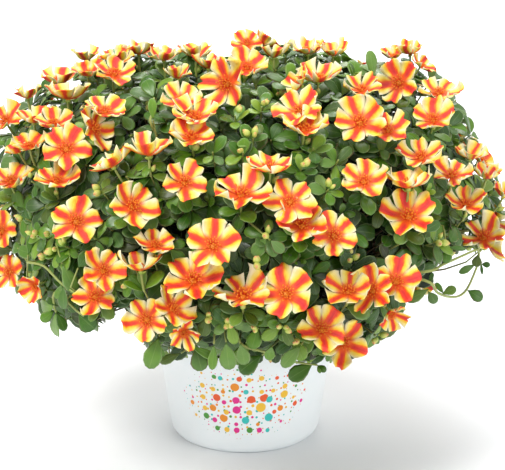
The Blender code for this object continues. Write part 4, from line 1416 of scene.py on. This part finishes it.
def trailShoot(seen, last, leaves):
    look = trailLook
    path = [offMound(*pixel, last * place / (len(seen) - 1) - 1)
            for place, pixel in enumerate(seen)]
    cell = stemOf((seenPoint(*seen[0]) - crown).normalized())
    rooted = path[0] * look["rooted"][0] + crown * look["rooted"][1]
    line = smoothLine([stemPath(cell)[3], rooted] + path, shootLook["steps"])
    cells[cell]["lines"].append((line, shootLook["trailTube"]))
    for leaf in range(leaves):
        walk = (1.0 - look["spread"] * leaf / (leaves + 1)) * (len(path) - 1)
        first = min(int(walk), len(path) - 2)
        base = path[first].lerp(path[first + 1], walk - first)
        along = (path[first + 1] - path[first]).normalized()
        out = (base - crown).normalized()
        side = along.cross(out).normalized() * (1 if leaf % 2 else -1)
        if leaf == 0:
            side *= look["endSide"]
        for tilt in look["tilts"]:
            way = (along * look["onward"] + side * look["sideways"] + out * tilt).normalized()
            if addLeaf(cell, base, way, out + along * 0.1, layout.uniform(*look["sizes"]),
                       layout.uniform(*look["tone"]), True):
                break


def anyWay(least, most):
    return Vector([layout.uniform(least, most) for _ in range(3)])


def singleLeaf(base, tip, nearer, broad, stalk):
    # the tip is placed as deep as the base, so that the leaf lies across the sight line
    look = singleLook
    start = offMound(*base, nearer - look["sunk"])
    depth = (start - lensPlace).dot(ahead) - look["behind"]
    blade = lensPlace + sightLine(*tip) * depth - start
    up = (lensPlace - start).normalized() + anyWay(*look["turn"])
    cell = stemOf((start - crown).normalized())
    tone = layout.uniform(*look["tone"])
    if not addLeaf(cell, start, blade, up, blade.length, tone, True, broad):
        refused.append(base)
    elif stalk:
        keepShoot(*shootTo(start, blade.normalized()))


refused = []
for seen in seenShoots:
    trailShoot(*seen)
for listed in (shootLeaves, stalkLeaves):
    for read in listed:
        singleLeaf(*read, listed is stalkLeaves)
print("single leaves refused", refused)
print("bloom shoots and trailing shoots: leaves", len(screens))


# Bud clusters that the photograph shows on short shoots of their own

seenBuds = (
    (28, 180), (90, 237), (52, 250), (99, 190), (147, 156), (124, 175), (235, 113),
    (262, 104), (253, 136), (243, 150), (303, 165), (268, 235), (330, 188), (166, 246),
    (258, 265), (440, 241), (315, 146), (378, 337), (228, 324), (283, 328), (258, 330),
    (206, 318), (296, 342), (128, 284), (62, 246), (212, 150), (340, 158),
    (22, 218), (34, 236), (14, 248), (42, 258), (24, 272), (48, 232),
)
budShoot = {"share": 0.985, "lift": 0.5, "count": 3, "whorl": 5, "pairs": 5, "tone": 0.62,
            "top": 0.003, "sizes": (0.013, 0.019)}


def budCluster(across, down):
    look = budShoot
    spot = crown + (seenPoint(across, down) - crown) * look["share"]
    way = (skinNormal(spot) + Vector((0, 0, look["lift"]))).normalized()
    cell, line = shootTo(spot, way)
    addBuds(cell, spot, way, look["count"])
    dressLine(cell, line, look["whorl"], look["pairs"], look["tone"], look["top"], look["sizes"])
    keepShoot(cell, line)
    return spot, 1.0


# the tips so far, with the weight that their distance gets; a bloom takes more room
tips = [(bloom["place"], 0.9) for bloom in blooms] + [budCluster(*read) for read in seenBuds]


# Shoots that fill the mound between the blooms, then shorter ones behind them

fillLook = {
    "outer": {"count": 232, "depth": (0.86, 0.985), "tone": 0.60, "whorl": 6, "pairs": 5,
              "buds": 0.30},
    # the inner shoots' low tone darkens their leaves, as painted shade deep in the mound
    "inner": {"count": 100, "depth": (0.68, 0.80), "tone": 0.25, "whorl": 5, "pairs": 4,
              "buds": 0.0},
    "candidates": 24, "rise": (-0.45, 1.0), "lowest": 0.100, "margin": 8, "outward": 0.6,
    "lean": (-0.3, 0.3), "lift": (0, 0.6), "budTop": 0.003, "sizes": (0.0165, 0.0235),
    "young": {"way": Vector((0.55, 0, 0.83)), "turn": 2.1, "size": (0.007, 0.012),
              "tone": (0.8, 1.0)},
}


def roomiest(depth, placed):
    # the place furthest from every tip so far, of a few drawn
    best, widest = None, -1.0
    for _ in range(fillLook["candidates"]):
        way = wayOut(layout.uniform(0, wholeTurn), math.asin(layout.uniform(*fillLook["rise"])))
        spot = crown + way * reach(way) * layout.uniform(*depth)
        if spot.z < fillLook["lowest"] or not inPicture(spot, fillLook["margin"]):
            continue
        space = min(((spot - other).length * weight for other, weight in placed), default=1.0)
        if space > widest:
            best, widest = spot, space
    return best


def addYoungLeaves(cell, place, way):
    look = fillLook["young"]
    for number in range(3):
        turn = look["turn"] * number + layout.uniform(*fillLook["lean"])
        addLeaf(cell, place, frameOf(way, turn) @ look["way"], way, layout.uniform(*look["size"]),
                layout.uniform(*look["tone"]))


def fillShoot(place, kind):
    lean = [layout.uniform(*fillLook[key]) for key in ("lean", "lean", "lift")]
    outward = fillLook["outward"] * (place - crown).normalized()
    way = (skinNormal(place) + outward + Vector(lean)).normalized()
    cell, line = shootTo(place, way)
    buds = kind["buds"] and layout.random() < kind["buds"]
    made = dressLine(cell, line, kind["whorl"], kind["pairs"], kind["tone"],
                     fillLook["budTop"] if buds else 0.0, fillLook["sizes"])
    keepShoot(cell, line, made)
    if made >= shootLook["bare"] and buds:
        addBuds(cell, place, way, layout.choice((1, 2, 3)))
    elif made >= shootLook["bare"] and kind["buds"]:
        addYoungLeaves(cell, place, way)


for kind, placed in ((fillLook["outer"], list(tips)), (fillLook["inner"], [])):
    for _ in range(kind["count"]):
        place = roomiest(kind["depth"], placed)
        if place is not None:
            placed.append((place, 1.0))
            fillShoot(place, kind)


# Hollows and gaps that the lens would look into are closed with more leaves

hollowLook = {"across": (6, 500), "down": (45, 352), "step": 5, "deep": 0.084, "apart": 0.027,
              "sink": 0.024, "past": 0.02, "margin": 12, "lowest": 0.118, "before": 0.03,
              "lift": 0.3, "back": 0.4, "sizes": (0.0175, 0.0225)}
# leaves that close gaps get a dark tone, painted shade deep in the mound
gapLook = {"deep": 0.80, "lowest": 0.118, "half": 0.22, "fine": 0.0022, "coarse": 0.0055,
           "apart": 0.009, "eyes": 9, "eyeHeight": 0.25, "eyeDistance": 1.4, "rounds": 2,
           "size": (0.021, 0.026), "behind": (0.0, 0.03), "centred": 0.55, "turn": (-0.3, 0.3),
           "tone": (0.1, 0.4), "broad": 1.3}


def screenWall():
    # every leaf and bloom as a flat screen, for sight lines to meet
    corners = [corner for screen in screens for corner in screen]
    for bloom in blooms:
        across = bloom["normal"].orthogonal().normalized() * bloom["radius"] * 0.8
        along = bloom["normal"].cross(across)
        corners += [bloom["place"] + way for way in (across, along, -across, -along)]
    return BVHTree.FromPolygons(corners, [tuple(range(k, k + 4))
                                          for k in range(0, len(corners), 4)])


def nearAny(spot, others, apart):
    return any((spot - other).length < apart for other in others)


def isHollow(wall, spot, way):
    look = hollowLook
    if outside(spot) > look["past"] or not inPicture(spot, look["margin"]):
        return False
    if spot.z < look["lowest"]:
        return False
    hit = wall.ray_cast(spot - way * look["before"], way)[0]
    return hit is None or (hit - spot).length >= look["deep"]


def fillHollows():
    # a leafy shoot wherever the lens looks deep into the mound
    look, wall, filled = hollowLook, screenWall(), []
    for down in range(*look["down"], look["step"]):
        for across in range(*look["across"], look["step"]):
            spot = seenPoint(across, down)
            way = (spot - lensPlace).normalized()
            if not isHollow(wall, spot, way) or nearAny(spot, filled, look["apart"]):
                continue
            tip = spot + way * look["sink"]
            grow = skinNormal(spot) + Vector((0, 0, look["lift"])) - way * look["back"]
            cell, line = shootTo(tip, grow.normalized())
            keepShoot(cell, line, dressLine(cell, line, 6, 1, 0.45, 0.0, look["sizes"]))
            filled.append(spot)
    return len(filled)


def openLines(eye, step, count):
    # places deep in the mound where the line from an eye passes every leaf and bloom
    wall = screenWall()
    forward = (crown - eye).normalized()
    side = forward.cross(Vector((0, 0, 1))).normalized()
    over = side.cross(forward)
    found = []
    for a in range(-count, count + 1):
        for b in range(-count, count + 1):
            way = (crown + side * (a * step) + over * (b * step) - eye).normalized()
            spot = eye + way * (crown - eye).dot(way)
            gap = spot - crown
            if (spot.z >= gapLook["lowest"]
                    and gap.length <= reach(gap.normalized()) * gapLook["deep"]
                    and wall.ray_cast(eye, way)[0] is None):
                found.append((spot, way))
    return found


def fillGaps(eye, step):
    # a short shoot behind each open line, with a leaf held across it
    look, filled = gapLook, []
    for spot, way in openLines(eye, step, int(look["half"] / step)):
        if nearAny(spot, filled, look["apart"]):
            continue
        side = way.cross(anyWay(-1, 1)).normalized()
        size = layout.uniform(*look["size"])
        deep = spot + way * layout.uniform(*look["behind"])
        cell, line = shootTo(deep - side * size * look["centred"], side)
        up = -way + anyWay(*look["turn"])
        if addLeaf(cell, line[-1], side, up, size, layout.uniform(*look["tone"]), True,
                   look["broad"]):
            keepShoot(cell, line)
            filled.append(spot)
    return len(filled)


print("hollows filled", fillHollows())
for _ in range(gapLook["rounds"]):
    print("open lines from the lens filled", fillGaps(lensPlace, gapLook["fine"]))
for number in range(gapLook["eyes"]):
    around = math.radians(360 / gapLook["eyes"] * (number + 0.5) - 90)
    eye = Vector((math.cos(around), math.sin(around), gapLook["eyeHeight"]))
    print("open lines filled", fillGaps(crown + eye * gapLook["eyeDistance"], gapLook["coarse"]))
print("leaves in all", len(screens))


# Each leafy stem joined into its piece

def makeTubes(name, lines, taper=0.65):
    # round lines with closed ends, from one bevelled curve
    curve = bpy.data.curves.new(name, "CURVE")
    curve.dimensions = "3D"
    curve.bevel_depth = 1.0
    curve.bevel_resolution = 1
    curve.use_fill_caps = True
    for line, radius in lines:
        spline = curve.splines.new("POLY")
        spline.points.add(len(line) - 1)
        for k, (point, spot) in enumerate(zip(spline.points, line)):
            point.co = (*spot, 1.0)
            point.radius = radius * (1 + (taper - 1) * k / (len(line) - 1))
    piece = bpy.data.objects.new(name, curve)
    bpy.context.scene.collection.objects.link(piece)
    pick([piece])
    bpy.ops.object.convert(target="MESH")
    piece = newPiece()
    paintAll([piece], stemMaterial)
    if not piece.data.uv_layers:
        piece.data.uv_layers.new(name="UVMap")
    return piece


def shadeByDepth(piece):
    # stems pass from brown inside the mound to green at its skin
    setTone(piece, 0.0)
    tones = piece.data.attributes["tone"].data
    for vertex, tone in zip(piece.data.vertices, tones):
        way = vertex.co - crown
        tone.value = min(way.length / reach(way.normalized()), 1.0) ** 4 * 0.8


for number, cell in enumerate(cells, 1):
    tubes = makeTubes(f"stemTubes_{number}", cell["lines"])
    shadeByDepth(tubes)
    piece = joinAs(f"leafyStem_{number:02d}", [tubes] + cell["parts"])
    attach(piece, "root")
    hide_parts(f"leafy_stem_{number:02d}")
print("leafy stems joined")


# Each spray joined from the blooms that lie nearest to its solid

bendLook = {"scale": 1.7, "depth": 0.17, "most": 1.1, "shift": (0, 90)}
sprayLook = {"size": 0.95, "stalkTaper": 0.9, "stalkTone": 0.85}


def shapeOf(node):
    return BVHTree.FromPolygons([node.matrix_world @ v.co for v in node.data.vertices],
                                [tuple(p.vertices) for p in node.data.polygons])


def bendPetals(piece, bloom):
    # each bloom bent its own way, more so towards the petal tips
    look = bendLook
    shift = Vector((layout.uniform(*look["shift"]), layout.uniform(*look["shift"]), 0))
    for vertex in piece.data.vertices:
        way = (vertex.co - bloom["place"]) / bloom["radius"]
        part = min(way.length_squared, look["most"])
        bend = noise.noise_vector(way * look["scale"] + shift) * part
        vertex.co += bend * look["depth"] * bloom["radius"]


def makeBloom(bloom):
    cup = min(bloomCups, key=lambda value: abs(value - bloom["cup"]))
    model = bloomModels[cup, layout.randrange(len(bloomWidths))]
    size = bloom["radius"] * sprayLook["size"]
    turned = frameOf(bloom["normal"], bloom["turn"]).to_4x4()
    matrix = (Matrix.Translation(bloom["place"]) @ turned
              @ Matrix.Diagonal((size, size, size * bloom["cup"] / cup, 1)))
    made = copyTo(model, matrix, layout.uniform(0, 1))
    bendPetals(made, bloom)
    return made


noise.seed_set(mound["seed"])
shapes = {name: shapeOf(bpy.data.objects[name]) for name in sorted(bpy.data.objects.keys())
          if name.startswith("blooms_")}
sprays = {name: [] for name in shapes}
furthest = 0.0
for bloom in blooms:
    gaps = {name: shape.find_nearest(bloom["place"])[3] for name, shape in shapes.items()}
    nearest = min(gaps, key=gaps.get)
    furthest = max(furthest, gaps[nearest])
    sprays[nearest].append(bloom)
print("blooms matched to their sprays within", round(furthest * 1000, 2), "mm")
for name, members in sprays.items():
    parts = [makeBloom(bloom) for bloom in members]
    stalks = makeTubes(f"stalks_{name}", [(bloom["stalk"], shootLook["stalkTube"])
                                          for bloom in members], sprayLook["stalkTaper"])
    setTone(stalks, sprayLook["stalkTone"])
    piece = joinAs(name.replace("blooms_", "bloomSpray_"), parts + [stalks])
    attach(piece, "root")
    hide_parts(name)
print("sprays joined:", len(sprays))

for model in list(bloomModels.values()) + leafModels + budModels:
    dropModel(model)
